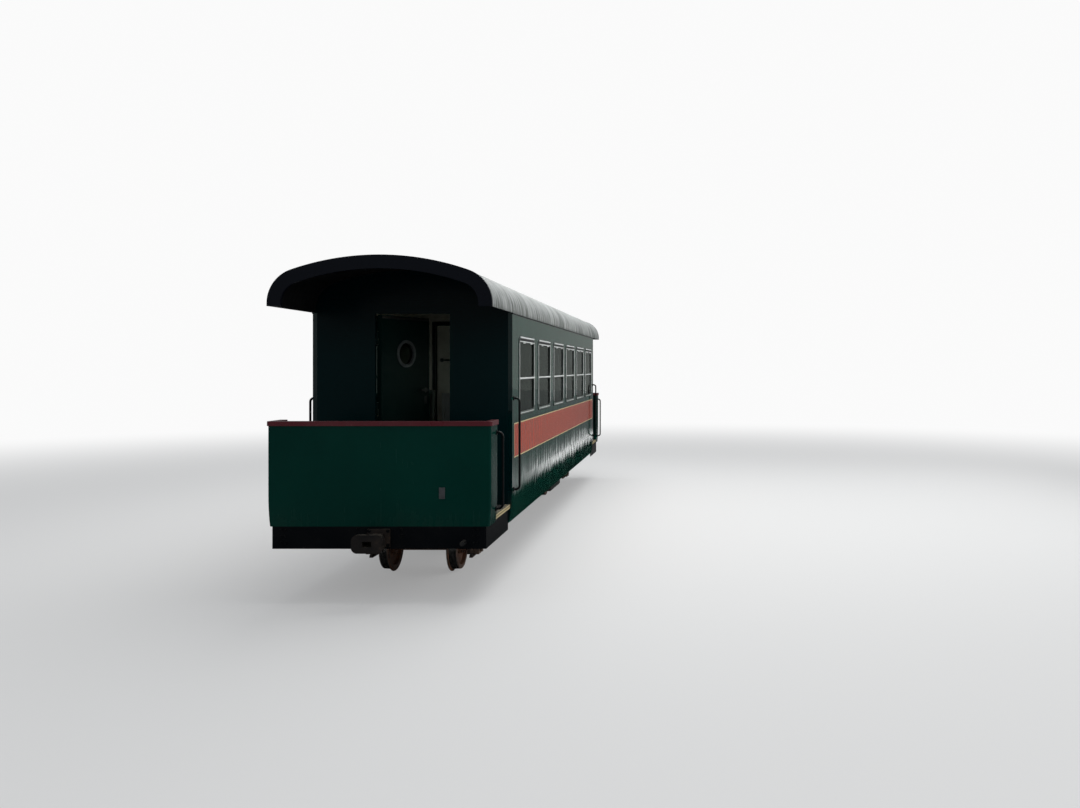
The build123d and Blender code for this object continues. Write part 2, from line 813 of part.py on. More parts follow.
with BuildPart() as bogie_frame:
    for flank in (-1, 1):
        with BuildSketch(Plane.XZ.offset(-flank * frame_y - frame_plate / 2)):
            with Locations((0, (frame_top + plate_low) / 2)):
                RectangleRounded(2 * frame_half_length, plate_depth, plate_corner)
            for axle in (-1, 1):
                with Locations((axle * wheelbase / 2, (frame_top + horn_bottom) / 2)):
                    Rectangle(horn_outer, frame_top - horn_bottom)
            with Locations((0, plate_low)):
                Circle(arch_radius, mode=Mode.SUBTRACT)
            for axle in (-1, 1):
                with Locations((axle * wheelbase / 2, slot_top / 2)):
                    Rectangle(slot_width_x, slot_top, mode=Mode.SUBTRACT)
        extrude(amount=frame_plate)
        for axle in (-1, 1):
            for reach in (-1, 1):
                lug_x = axle * wheelbase / 2 + reach * shackle_x
                with Locations((lug_x, flank * (plate_outer + lug_reach / 2), frame_top - lug_height / 2)):
                    Box(lug_length, lug_reach, lug_height)
            with Locations((axle * wheelbase / 2, flank * frame_y, horn_bottom + keeper_height / 2)):
                Box(horn_outer, frame_plate + 2 * keeper_proud, keeper_height)
    for transom in (-1, 1):
        with Locations((transom * transom_x, 0, transom_top - transom_height / 2)):
            Box(transom_web, 2 * plate_inner, transom_height)
        flange_x = transom * (transom_x + transom_web / 2 - transom_flange / 2)
        with Locations((flange_x, 0, transom_top - transom_flange_thickness / 2)):
            Box(transom_flange, 2 * plate_inner, transom_flange_thickness)
        for flank in (-1, 1):
            bracket_x = transom * (transom_face + bracket_length / 2)
            with Locations((bracket_x, flank * block_y, transom_top - transom_flange_thickness / 2)):
                Box(bracket_length, bracket_width, transom_flange_thickness)
    with BuildSketch(Plane.YZ.offset(-bogie_bolster_width / 2)):
        with BuildLine():
            Polyline(
                (-plate_inner, bolster_top),
                (-plate_inner, bolster_top - bogie_bolster_end),
                (-centre_plate_radius, bolster_top - bogie_bolster_height),
                (centre_plate_radius, bolster_top - bogie_bolster_height),
                (plate_inner, bolster_top - bogie_bolster_end),
                (plate_inner, bolster_top),
                close=True,
            )
        make_face()
    extrude(amount=bogie_bolster_width)
    with Locations((0, 0, centre_plate_top - lower_plate_thickness / 2)):
        Cylinder(centre_plate_radius, lower_plate_thickness)
    bearer_top = centre_plate_top - bearer_gap
    with GridLocations(0, 2 * side_bearer_y, 1, 2):
        with Locations((0, 0, (bolster_top + bearer_top) / 2)):
            Box(lower_bearer_length, lower_bearer_width, bearer_top - bolster_top)
    with Locations((0, 0, centre_plate_top + pin_height / 2)):
        Cylinder(pin_radius, pin_height)


# Wheelset: axle, two wheels and journals, turned in one profile
wheel_face = wheel_back + wheel_width
rim_inner = tread_radius - tyre_thickness
web_side = (wheel_width - web_thickness) / 2
box_end = frame_y + box_offset + box_depth / 2
journal_end = box_end - journal_wall

with BuildPart() as wheelset:
    with BuildSketch(Plane.XY):
        Rectangle(2 * axle_radius, 2 * (wheel_face + axle_shoulder))
        Rectangle(2 * journal_radius, 2 * journal_end)
        for flank in (-1, 1):
            with BuildLine():
                Polyline(
                    (0, flank * wheel_back),
                    (tread_radius + flange_depth - flange_round, flank * wheel_back),
                    (tread_radius + flange_depth, flank * (wheel_back + flange_round)),
                    (tread_radius + flange_depth, flank * (wheel_back + 2 * flange_round)),
                    (tread_radius, flank * (wheel_back + flange_thickness)),
                    (tread_radius - tread_fall, flank * (wheel_face - tread_chamfer)),
                    (tread_radius - tread_fall - tread_chamfer, flank * wheel_face),
                    (0, flank * wheel_face),
                    close=True,
                )
            make_face()
            for face, inward in ((wheel_back, 1), (wheel_face, -1)):
                with Locations(((rim_inner + hub_radius) / 2, flank * (face + inward * web_side / 2))):
                    Rectangle(rim_inner - hub_radius, web_side, mode=Mode.SUBTRACT)
            with Locations((hub_radius / 2, flank * (wheel_back + wheel_face) / 2)):
                Rectangle(hub_radius, wheel_width + 2 * hub_proud)
        with Locations((-tread_radius, 0)):
            Rectangle(2 * tread_radius, 4 * frame_y, mode=Mode.SUBTRACT)
    revolve(axis=Axis.Y)


# Axleboxes of a bogie, each with its round cover and the laminated spring on it
box_top = axle_height + box_height / 2
spring_base = box_top + saddle_height
spring_y = plate_outer + spring_clear + leaf_width / 2
stack_height = leaf_count * leaf_plate
leaf_centre_z = spring_base + stack_height + leaf_radius
# Each leaf: its number from the top, and its half length
leaves = [(number, leaf_half_length - number * leaf_step) for number in range(leaf_count)]
shackle_top = frame_top - lug_height
shackle_low = leaf_centre_z - leaf_radius * math.cos(shackle_x / leaf_radius) - leaf_plate / 2

with BuildPart() as axleboxes:
    for axle in (-1, 1):
        for flank in (-1, 1):
            x = axle * wheelbase / 2
            with Locations((x, flank * (frame_y + box_offset), axle_height)):
                Box(box_width, box_depth, box_height)
            with Locations((x, flank * spring_y, box_top + saddle_height / 2)):
                Box(saddle_length, leaf_width, saddle_height)
            with BuildSketch(Plane.XZ.offset(-flank * spring_y - leaf_width / 2)):
                for number, half_length in leaves:
                    outer = leaf_radius + (number + 1) * leaf_plate
                    inner = leaf_radius + number * leaf_plate
                    swing = half_length / outer
                    with BuildLine():
                        low_arc = ThreePointArc(
                            (x - outer * math.sin(swing), leaf_centre_z - outer * math.cos(swing)),
                            (x, leaf_centre_z - outer),
                            (x + outer * math.sin(swing), leaf_centre_z - outer * math.cos(swing)),
                        )
                        high_arc = ThreePointArc(
                            (x + inner * math.sin(swing), leaf_centre_z - inner * math.cos(swing)),
                            (x, leaf_centre_z - inner),
                            (x - inner * math.sin(swing), leaf_centre_z - inner * math.cos(swing)),
                        )
                        Line(low_arc @ 1, high_arc @ 0)
                        Line(high_arc @ 1, low_arc @ 0)
                    make_face()
            extrude(amount=leaf_width)
            buckle_height = stack_height + buckle_wrap
            with Locations((x, flank * spring_y, spring_base + buckle_height / 2)):
                Box(buckle_length, leaf_width, buckle_height)
            for reach in (-1, 1):
                with Locations((x + reach * shackle_x, flank * spring_y, (shackle_low + shackle_top) / 2)):
                    Box(shackle_width, shackle_depth, shackle_top - shackle_low)
            with Locations((x, flank * (box_end + cover_thickness / 2), axle_height)):
                Cylinder(cover_radius, cover_thickness, rotation=(90, 0, 0))
    for axle in (-1, 1):
        with Locations((axle * wheelbase / 2, 0, axle_height)):
            bore_length = 2 * (journal_end + journal_end_gap)
            Cylinder(journal_radius + journal_gap, bore_length, rotation=(90, 0, 0), mode=Mode.SUBTRACT)


# Brake gear of a bogie: a block inside each wheel, hung on links and joined by beams
block_outer = block_radius + block_thickness
block_half_height = block_outer * math.sin(math.radians(block_half_angle))
brake_hanger_top = transom_top - transom_flange_thickness

with BuildPart() as brake_gear:
    for axle in (-1, 1):
        for flank in (-1, 1):
            with BuildSketch(Plane.XZ.offset(-flank * block_y - block_width / 2)):
                with Locations((axle * wheelbase / 2, axle_height)):
                    Circle(block_outer)
                    Circle(block_radius, mode=Mode.SUBTRACT)
                with Locations((axle * (wheelbase / 2 - block_outer / 2), axle_height)):
                    Rectangle(block_outer, 2 * block_half_height, mode=Mode.INTERSECT)
            extrude(amount=block_width)
            hanger_z = (axle_height + brake_hanger_top) / 2
            with Locations((axle * beam_x, flank * block_y, hanger_z)):
                Box(brake_hanger_length, brake_hanger_width, brake_hanger_top - axle_height)
        with Locations((axle * beam_x, 0, axle_height)):
            Box(brake_beam_width, 2 * block_y + block_width, brake_beam_height)
    with Locations((0, 0, axle_height)):
        Box(2 * beam_x, brake_rod_width, brake_rod_height)


wheelset_number = 1
for end_name, end in (("front", -1), ("rear", 1)):
    place = Location((end * pivot, 0, 0))
    write(bogie_frame.part.moved(place), f"bogie_frame_{end_name}")
    write(axleboxes.part.moved(place), f"axleboxes_{end_name}")
    write(brake_gear.part.moved(place), f"brake_gear_{end_name}")
    for axle in (-1, 1):
        axle_place = Location((end * pivot + axle * wheelbase / 2, 0, axle_height))
        write(wheelset.part.moved(axle_place), f"wheelset_{wheelset_number}")
        wheelset_number += 1


# Centre buffer and coupler: a base on the headstock, a shank, and a slotted head with a pin hole
coupler_z = floor_top - coupler_drop
buffer_face = -body_end - buffer_reach

with BuildPart() as coupler:
    with Locations((-body_end - coupler_base_thickness / 2, 0, coupler_z)):
        Box(coupler_base_thickness, coupler_base_width, coupler_base_height)
    with Locations((-body_end - buffer_reach / 2, 0, coupler_z)):
        Box(buffer_reach, shank_size, shank_size)
    with BuildSketch(Plane.YZ.offset(buffer_face)):
        with Locations((0, coupler_z)):
            RectangleRounded(buffer_width, buffer_height, buffer_corner)
    extrude(amount=buffer_thickness)
    with Locations((buffer_face + coupler_head_length / 2, 0, coupler_z)):
        Box(coupler_head_length, coupler_head_width, coupler_head_height)
    with Locations((buffer_face + slot_depth / 2, 0, coupler_z)):
        Box(slot_depth, slot_width, slot_height, mode=Mode.SUBTRACT)
    with Locations((buffer_face + buffer_thickness / 2, 0, coupler_z)):
        Cylinder(coupler_pin_radius, 2 * buffer_height, mode=Mode.SUBTRACT)
write_pair(coupler.part, "coupler", ends)


# Brake pipe, vacuum cylinder and battery box under the floor
bearer_bottom = floor_bottom - bearer_height
equipment_x = (inner_bearer + outer_bearer) / 2
carrier_run = outer_bearer - inner_bearer + carrier_end
carrier_top = bearer_bottom - carrier_drop

with BuildPart() as brake_pipe:
    pipe_end = body_end + stub_reach
    for end_x, radius in ((pipe_end, nipple_radius), (pipe_end - nipple_length, pipe_radius)):
        with BuildSketch(Plane.YZ.offset(-end_x)):
            with Locations((pipe_y, pipe_z)):
                Circle(radius)
        extrude(amount=2 * end_x)
    for bearer_x in bearer_places:
        with Locations((bearer_x, pipe_y, (pipe_z + bearer_bottom) / 2)):
            Box(pipe_clip_length, pipe_clip_width, bearer_bottom - pipe_z)
write(brake_pipe.part, "brake_pipe")

with BuildPart() as vacuum_cylinder:
    cylinder_top = carrier_top - carrier_thickness
    with Locations((-equipment_x, cylinder_y, cylinder_top - cylinder_height / 2)):
        Cylinder(cylinder_radius, cylinder_height)
    for flange_z in (cylinder_top, cylinder_top - cylinder_height):
        with Locations((-equipment_x, cylinder_y, flange_z)):
            Cylinder(cylinder_radius + cylinder_flange, cylinder_flange_thickness)
    rod_run = cylinder_height + 2 * cylinder_rod_reach
    with Locations((-equipment_x, cylinder_y, cylinder_top - rod_run / 2)):
        Cylinder(cylinder_rod_radius, rod_run)
    with Locations((-equipment_x, cylinder_y, carrier_top - carrier_thickness / 2)):
        Box(carrier_run, carrier_width, carrier_thickness)
    for bearer_x in (-outer_bearer, -inner_bearer):
        with Locations((bearer_x, cylinder_y, bearer_bottom - carrier_drop / 2)):
            Box(carrier_end, carrier_width, carrier_drop)
write(vacuum_cylinder.part, "vacuum_cylinder")

with BuildPart() as battery_box:
    battery_top = carrier_top - carrier_thickness
    with Locations((equipment_x, battery_y, battery_top - battery_height / 2)):
        Box(battery_length, battery_width, battery_height)
    fillet(battery_box.edges(), radius=battery_corner)
    for carrier_side in (-1, 1):
        carrier_y = battery_y + carrier_side * (battery_width - carrier_width) / 2
        carrier_y = carrier_y - carrier_side * battery_corner
        with Locations((equipment_x, carrier_y, carrier_top - carrier_thickness / 2)):
            Box(carrier_run, carrier_width, carrier_thickness)
        for bearer_x in (inner_bearer, outer_bearer):
            with Locations((bearer_x, carrier_y, bearer_bottom - carrier_drop / 2)):
                Box(carrier_end, carrier_width, carrier_drop)
write(battery_box.part, "battery_box")


# Seats in facing pairs, double on the right of the aisle and single on the left
seat_top = floor_top + seat_height
back_top = floor_top + seat_back_top
back_foot = seat_depth - seat_recline - seat_board
back_rise = back_top - seat_top
pad_low = seat_top + cushion_thickness + pad_gap
pad_high = back_top - pad_gap
# Each bank of seats: its name, its side of the aisle and its width
banks = (("left", 1, single_width), ("right", -1, double_width))

for bank_name, flank, seat_width in banks:
    seat_y = flank * (outline_y(floor_top, wall) - seat_wall_gap - seat_width / 2)
    with BuildPart() as seat:
        # One seat that faces -X, with its front edge at x = 0
        with BuildSketch(Plane.XZ.offset(-seat_width / 2)):
            with BuildLine():
                Polyline(
                    (0, seat_top),
                    (back_foot, seat_top),
                    (back_foot + seat_recline, back_top),
                    (back_foot + seat_recline + seat_board, back_top),
                    (back_foot + seat_board, seat_top - seat_board),
                    (0, seat_top - seat_board),
                    close=True,
                )
            make_face()
        extrude(amount=seat_width)
        for side_place in (0, 1):
            panel_y = -seat_width / 2 + side_place * (seat_width - seat_end_thickness)
            with BuildSketch(Plane.XZ.offset(panel_y)) as end_panel:
                foot_start = (seat_depth - seat_foot_length) / 2
                with BuildLine():
                    Polyline(
                        (foot_start, floor_top),
                        (foot_start + seat_foot_length, floor_top),
                        (back_foot + seat_board + seat_end_margin, seat_top),
                        (back_foot + seat_recline + seat_board, back_top - seat_end_margin),
                        (back_foot + seat_recline - seat_end_margin, back_top - seat_end_margin),
                        (back_foot - 2 * seat_end_margin, seat_top + seat_end_margin),
                        (seat_end_margin, seat_top + seat_end_margin),
                        (seat_end_margin, seat_top - 2 * seat_end_margin),
                        close=True,
                    )
                make_face()
                fillet(end_panel.vertices(), radius=seat_end_corner)
            extrude(amount=seat_end_thickness)
    pad_width = seat_width - 2 * seat_end_thickness - 2 * cushion_margin
    with BuildPart() as pads:
        with Locations(((back_foot - cushion_margin) / 2, 0, seat_top + cushion_thickness / 2)):
            Box(back_foot - cushion_margin, pad_width, cushion_thickness)
        with BuildSketch(Plane.XZ.offset(-pad_width / 2)):
            low_x = back_foot + seat_recline * (pad_low - seat_top) / back_rise
            high_x = back_foot + seat_recline * (pad_high - seat_top) / back_rise
            with BuildLine():
                Polyline(
                    (low_x, pad_low),
                    (high_x, pad_high),
                    (high_x - pad_thickness, pad_high),
                    (low_x - pad_thickness, pad_low),
                    close=True,
                )
            make_face()
        extrude(amount=pad_width)
    with BuildPart() as seat_frames:
        for middle in bay_middles:
            front_edge = middle + seat_back_out - seat_depth
            add(seat.part.moved(Location((front_edge, seat_y, 0))))
            add(seat.part.rotate(Axis.Z, 180).moved(Location((2 * middle - front_edge, seat_y, 0))))
    write(seat_frames.part, f"seat_frames_{bank_name}")
    with BuildPart() as seat_cushions:
        for middle in bay_middles:
            front_edge = middle + seat_back_out - seat_depth
            add(pads.part.moved(Location((front_edge, seat_y, 0))))
            add(pads.part.rotate(Axis.Z, 180).moved(Location((2 * middle - front_edge, seat_y, 0))))
    write(seat_cushions.part, f"seat_cushions_{bank_name}")
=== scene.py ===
import math

import bmesh
import bpy
from mathutils import Matrix, Vector


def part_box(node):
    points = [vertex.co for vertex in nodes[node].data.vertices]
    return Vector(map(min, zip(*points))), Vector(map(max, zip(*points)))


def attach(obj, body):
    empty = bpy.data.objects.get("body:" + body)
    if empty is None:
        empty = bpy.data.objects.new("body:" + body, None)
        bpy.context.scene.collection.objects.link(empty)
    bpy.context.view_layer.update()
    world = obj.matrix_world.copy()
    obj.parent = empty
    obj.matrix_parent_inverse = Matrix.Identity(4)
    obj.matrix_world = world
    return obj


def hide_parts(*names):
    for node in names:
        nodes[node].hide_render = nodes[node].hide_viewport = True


# Narrow-gauge bogie coach with open end balconies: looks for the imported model.
# Metres, X along the coach with the front end at -X, Y across, Z up.

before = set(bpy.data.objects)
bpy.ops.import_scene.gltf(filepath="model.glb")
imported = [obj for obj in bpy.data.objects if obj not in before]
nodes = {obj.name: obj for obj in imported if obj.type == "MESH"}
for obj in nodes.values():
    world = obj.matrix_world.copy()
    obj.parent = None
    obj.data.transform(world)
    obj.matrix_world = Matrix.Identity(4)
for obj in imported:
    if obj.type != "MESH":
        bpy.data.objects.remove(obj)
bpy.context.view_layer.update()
scene = bpy.context.scene
print("frame loaded,", len(nodes), "nodes")

coach = {
    "halfWidth": 0.95, "cabinEnd": 3.56, "bodyEnd": 4.478, "floor": 0.71, "turnTop": 0.93,
    "turnRadius": 2.4, "eave": 2.54, "roofTop": 2.975, "pivot": 2.6, "wheelbase": 1.15,
    "axleHeight": 0.25,
}
windows = {
    "pitch": 1.118,
    "places": (-2.795, -1.677, -0.559, 0.559, 1.677, 2.795), "width": 0.87, "low": 1.548,
    "height": 0.78, "corner": 0.06, "bar": 0.024, "lowerLight": (1.578, 1.898),
    "upperLight": (1.922, 2.272), "face": 0.956, "lightCorner": 0.038, "glassDepth": 0.014,
}
door = {
    "hinge": (-3.509, 0.355), "open": math.radians(67), "outer": -3.556, "inner": -3.52,
    "porthole": 2.155, "width": 0.696, "low": 0.717, "high": 2.522,
}


# Shader maths: sockets that add and multiply like numbers

class Value:
    def __init__(self, finish, socket):
        self.finish = finish
        self.socket = socket

    def join(self, operation, first, second=0.0):
        return self.finish.node("ShaderNodeMath", {"operation": operation}, {0: first, 1: second})

    def __add__(self, other):
        return self.join("ADD", self, other)

    def __sub__(self, other):
        return self.join("SUBTRACT", self, other)

    def __rsub__(self, other):
        return self.join("SUBTRACT", other, self)

    def __mul__(self, other):
        return self.join("MULTIPLY", self, other)

    def __truediv__(self, other):
        return self.join("DIVIDE", self, other)

    def __pow__(self, other):
        return self.join("POWER", self, other)

    def __gt__(self, other):
        return self.join("GREATER_THAN", self, other)

    def __lt__(self, other):
        return self.join("LESS_THAN", self, other)

    def __abs__(self):
        return self.join("ABSOLUTE", self)

    def fraction(self):
        return self.join("FRACT", self)

    def wave(self, length):
        return self.join("SINE", self * (2 * math.pi / length)) * 0.5 + 0.5


class Finish:
    def __init__(self, owner):
        # owner is the name of a new material, or the world
        self.owner = bpy.data.materials.new(owner) if isinstance(owner, str) else owner
        self.owner.use_nodes = True
        self.tree = self.owner.node_tree
        self.tree.nodes.clear()
        self.spot = None

    def node(self, kind, settings, sockets, output=0):
        made = self.tree.nodes.new(kind)
        for key, value in settings.items():
            setattr(made, key, value)
        for key, value in sockets.items():
            if isinstance(value, Value):
                self.tree.links.new(value.socket, made.inputs[key])
            else:
                made.inputs[key].default_value = value
        return Value(self, made.outputs[output])

    def rays(self):
        # Is this a camera ray, a mirrored one, one that went through glass?
        made = self.node("ShaderNodeLightPath", {}, {}).socket.node
        kinds = ("Is Camera Ray", "Is Glossy Ray", "Is Transmission Ray")
        return [Value(self, made.outputs[kind]) for kind in kinds]

    def place(self):
        if self.spot is None:
            self.spot = self.node("ShaderNodeTexCoord", {}, {}, "Object")
        return self.spot

    def axes(self, source=None):
        made = self.node("ShaderNodeSeparateXYZ", {}, {0: source or self.place()})
        return [Value(self, output) for output in made.socket.node.outputs]

    def facing(self):
        return self.axes(self.node("ShaderNodeTexCoord", {}, {}, "Normal"))

    def upward(self):
        return self.ease(self.facing()[2], 0.5, 0.9)

    def noise(self, scale, detail=3.0, rough=0.55, stretch=None):
        spot = self.place()
        if stretch:
            spot = self.node("ShaderNodeMapping", {}, {"Vector": spot, "Scale": stretch})
        sockets = {"Vector": spot, "Scale": scale, "Detail": detail, "Roughness": rough}
        return self.node("ShaderNodeTexNoise", {}, sockets)

    def cells(self, scale):
        sockets = {"Vector": self.place(), "Scale": scale}
        return self.node("ShaderNodeTexVoronoi", {}, sockets, "Distance")

    def ease(self, value, low, high):
        settings = {"interpolation_type": "SMOOTHSTEP"}
        sockets = {"Value": value, "From Min": low, "From Max": high, "To Min": 0.0, "To Max": 1.0}
        return self.node("ShaderNodeMapRange", settings, sockets)

    def between(self, value, low, high, soft=0.0006):
        above = self.ease(value, low - soft, low + soft)
        return above * (1 - self.ease(value, high - soft, high + soft))

    def mix(self, factor, first, second):
        settings = {"data_type": "RGBA", "clamp_factor": True}
        return self.node("ShaderNodeMix", settings, {0: factor, 6: first, 7: second}, 2)

    def bump(self, height, distance, strength=1.0, under=None):
        sockets = {"Height": height, "Distance": distance, "Strength": strength}
        if under:
            sockets["Normal"] = under
        return self.node("ShaderNodeBump", {}, sockets)

    def close(self, shader, kind="ShaderNodeOutputMaterial"):
        self.tree.links.new(shader.socket, self.tree.nodes.new(kind).inputs[0])

    def done(self, tone, rough, normal=None, more=None):
        sockets = {"Base Color": tone, "Roughness": rough, **(more or {})}
        if normal:
            sockets["Normal"] = normal
        self.close(self.node("ShaderNodeBsdfPrincipled", {}, sockets))
        return self.owner


def shade(red, green, blue):
    # A colour as it looks on screen, 0 to 255, turned to the shader's linear values
    def linear(value):
        value = value / 255
        return value / 12.92 if value <= 0.04045 else ((value + 0.055) / 1.055) ** 2.4
    return (linear(red), linear(green), linear(blue), 1.0)


# Paint of the body: deep green, with the brick band and its cream lining on the sides

bodyPaint = {
    "green": shade(1, 52, 42), "greenWorn": shade(7, 62, 50),
    "endGreen": shade(0, 46, 39), "endWorn": shade(2, 54, 45),
    # The two darker greens on the next line are painted shade, for the shade under the canopies
    "paintedShadeGreen": shade(0, 21, 26), "canopyShadow": shade(0, 3, 6), "seam": shade(0, 22, 18),
    "band": shade(184, 84, 66), "bandWorn": shade(174, 90, 72), "lining": shade(214, 196, 148),
    "bandLow": 1.148, "bandHigh": 1.482, "bandInset": 0.09, "liningWidth": 0.012,
    "grime": shade(46, 44, 36), "innerWall": shade(158, 154, 140),
    "innerPanel": shade(150, 112, 72), "panelGrain": shade(120, 84, 50), "dadoTop": 1.54,
}


def paintBase(finish, colour, worn, roughness, grimeLine):
    # Colour with faint fading, dust low down and the uneven sheen of brushed gloss paint
    z = finish.axes()[2]
    fade = finish.noise(1.3, 4.0, 0.6)
    streak = finish.noise(1.0, 5.0, 0.6, (26.0, 26.0, 1.1))
    tone = finish.mix(finish.ease(fade, 0.35, 0.75) * 0.55, colour, worn)
    splash = streak * 0.35 + fade * 0.65
    dust = (1 - finish.ease(z, grimeLine, grimeLine + 0.3)) * finish.ease(splash, 0.38, 0.7)
    tone = finish.mix(dust * 0.16, tone, bodyPaint["grime"])
    rain = finish.ease(streak, 0.55, 0.85) * 0.06
    cloud = (finish.noise(9.0, 3.0) - 0.5) * (roughness * 0.5)
    rough = cloud + roughness + dust * 0.1 + rain
    return tone, rough


def makeSidePaint():
    paint = bodyPaint
    finish = Finish("sideGreenAndBand")
    x, y, z = finish.axes()
    tone, rough = paintBase(finish, paint["green"], paint["greenWorn"], 0.06, 0.5)
    faded = finish.ease(finish.noise(3.1, 4.0), 0.35, 0.7)
    bandTone = finish.mix(faded * 0.6, paint["band"], paint["bandWorn"])
    reach = coach["cabinEnd"] - paint["bandInset"]
    line = paint["liningWidth"]
    along = abs(x)
    wobble = (finish.noise(7.0, 2.0) - 0.5) * 0.0012
    inside = finish.between(z + wobble, paint["bandLow"], paint["bandHigh"]) * (along < reach)
    core = finish.between(z + wobble, paint["bandLow"] + line, paint["bandHigh"] - line)
    core = core * (along < reach - line)
    tone = finish.mix(inside, tone, paint["lining"])
    tone = finish.mix(core, tone, bandTone)
    outward = finish.facing()[1] * y
    outside = finish.ease(outward, -0.5, -0.3)
    lowWall = finish.between(z, 0.0, paint["dadoTop"])
    grain = finish.noise(1.0, 5.0, 0.6, (1.6, 20.0, 40.0))
    boards = finish.mix(grain, paint["innerPanel"], paint["panelGrain"])
    inner = finish.mix(lowWall, paint["innerWall"], boards)
    tone = finish.mix(outside, inner, tone)
    dents = finish.noise(1.0, 2.0, 0.5, (1.5, 1.5, 3.4))
    ripple = finish.noise(1.0, 2.0, 0.5, (6.5, 4.0, 1.1)) * 1.3
    ripple = ripple + finish.noise(1.0, 2.0, 0.5, (19.0, 6.0, 1.6)) * 0.45
    skin = finish.noise(260.0, 1.0)
    joint = abs((x / windows["pitch"] + 0.5).fraction() - 0.5)
    seam = (1 - finish.ease(joint, 0.0008, 0.0026)) * outside
    normal = finish.bump(dents + ripple, 0.0024)
    normal = finish.bump(skin * 0.08 - seam * 3.0, 0.00012, 0.6, normal)
    tone = finish.mix(seam * 0.35, tone, paint["seam"])
    # Painted shade: the end faces of the side panels, under the canopies, are darkened
    endFaceShade = finish.ease(abs(finish.facing()[0]), 0.6, 0.9) * (along > reach) * 0.85
    tone = finish.mix(endFaceShade, tone, paint["paintedShadeGreen"])
    return finish.done(tone, rough, normal, {"Specular IOR Level": 0.5})


def makeEndPaint():
    paint = bodyPaint
    finish = Finish("endGreen")
    x, y, z = finish.axes()
    tone, rough = paintBase(finish, paint["endGreen"], paint["endWorn"], 0.24, 0.62)
    # Painted shade darkens the bulkheads under the canopies; inside they are pale above a boarded
    # dado towards the seats
    along = abs(x)
    bulkheadShade = 1 - finish.ease(along, 3.6, 3.7)
    tone = finish.mix(bulkheadShade * 0.85, tone, paint["paintedShadeGreen"])
    # Painted shade: the bulkheads go near black towards the top, under the canopies
    tone = finish.mix(bulkheadShade * finish.ease(z, 1.9, 2.75) * 0.75, tone, paint["canopyShadow"])
    inward = finish.facing()[0] * x
    seatSide = (along < 3.53) * (inward < 0.0) * (along > 3.4)
    lowWall = finish.between(z, 0.0, paint["dadoTop"])
    inner = finish.mix(lowWall, paint["innerWall"], paint["innerPanel"])
    tone = finish.mix(seatSide, tone, inner)
    dents = finish.noise(1.0, 2.0, 0.5, (2.4, 2.4, 2.8))
    skin = finish.noise(260.0, 1.0)
    normal = finish.bump(dents, 0.0022)
    normal = finish.bump(skin, 0.00012, 0.5, normal)
    return finish.done(tone, rough, normal, {"Specular IOR Level": 0.1})


# Roof: pale weathered paint with mould streaks at the eaves, and painted shade, near black, under
# the canopies

roofPaint = {
    "pale": shade(178, 181, 179), "dull": shade(146, 149, 146), "mould": shade(66, 71, 66),
    # under: painted shade, near black, for the undersides of the canopies
    "under": shade(5, 6, 10), "ceiling": shade(208, 202, 186), "speck": shade(96, 98, 92),
    "streakTop": 2.86,
}


def makeRoofPaint():
    paint = roofPaint
    finish = Finish("weatheredRoof")
    x, y, z = finish.axes()
    patch = finish.ease(finish.noise(2.2, 5.0, 0.65), 0.36, 0.7)
    tone = finish.mix(patch, paint["pale"], paint["dull"])
    streak = finish.noise(1.0, 6.0, 0.72, (17.0, 2.0, 1.5))
    fine = finish.noise(1.0, 4.0, 0.6, (60.0, 5.0, 4.0))
    low = 1 - finish.ease(z, 2.56, paint["streakTop"])
    broad = finish.ease(finish.noise(1.0, 4.0, 0.6, (5.0, 1.2, 1.0)), 0.4, 0.65)
    mould = finish.ease(streak + fine * 0.3, 0.46, 0.76)
    mould = mould * (low * 0.95 + 0.12) * (broad * 0.5 + 0.6)
    tone = finish.mix(mould, tone, paint["mould"])
    edge = 1 - finish.ease(z, 2.535, 2.58)
    tone = finish.mix(edge * finish.ease(fine, 0.3, 0.6) * 0.6, tone, paint["mould"])
    speck = 1 - finish.ease(finish.cells(70.0), 0.05, 0.22)
    tone = finish.mix(speck * 0.22, tone, paint["speck"])
    facing = finish.facing()
    outward = facing[1] * y + facing[2] * (z - 2.3)
    outside = finish.ease(outward, -0.02, 0.02)
    # Painted shade: inside the roof is near black under the canopies and its own pale colour over
    # the cabin
    canopyShade = finish.ease(abs(x), 3.5, 3.53)
    inner = finish.mix(canopyShade, paint["ceiling"], paint["under"])
    tone = finish.mix(outside, inner, tone)
    rough = patch * 0.15 + 0.5 + mould * 0.2
    sag = finish.noise(1.0, 3.0, 0.5, (3.4, 2.0, 2.0))
    grit = finish.noise(140.0, 3.0, 0.7)
    normal = finish.bump(sag, 0.006)
    normal = finish.bump(grit, 0.0006, 0.6, normal)
    return finish.done(tone, rough, normal)


# Plain paints that differ in colour, wear and sheen

paints = {  # name: colour, worn colour, roughness, wear, gloss
    "rimPaint": ((7, 11, 20), (20, 26, 37), 0.38, 0.2, 0.14),
    "underPaint": ((4, 8, 13), (34, 32, 30), 0.45, 0.35, 0.08),
    "handrailPaint": ((8, 10, 12), (34, 35, 36), 0.3, 0.2, 0.25),
    "capPaint": ((86, 28, 36), (112, 74, 74), 0.28, 0.3, 0.3),
    "doorPaint": ((3, 26, 24), (12, 38, 34), 0.36, 0.25, 0.1),
    "palePaint": ((196, 190, 182), (162, 156, 148), 0.42, 0.35, 0.3),
    "trimPaint": ((20, 22, 26), (58, 56, 54), 0.4, 0.4, 0.3),
    "blackIron": ((18, 18, 19), (84, 66, 52), 0.55, 0.75, 0.25),
    "boxPaint": ((26, 28, 30), (82, 76, 66), 0.46, 0.6, 0.3),
    "seatFramePaint": ((96, 102, 98), (140, 140, 134), 0.4, 0.4, 0.4),
    "blackHandle": ((14, 14, 15), (110, 104, 94), 0.3, 0.45, 0.45),
}


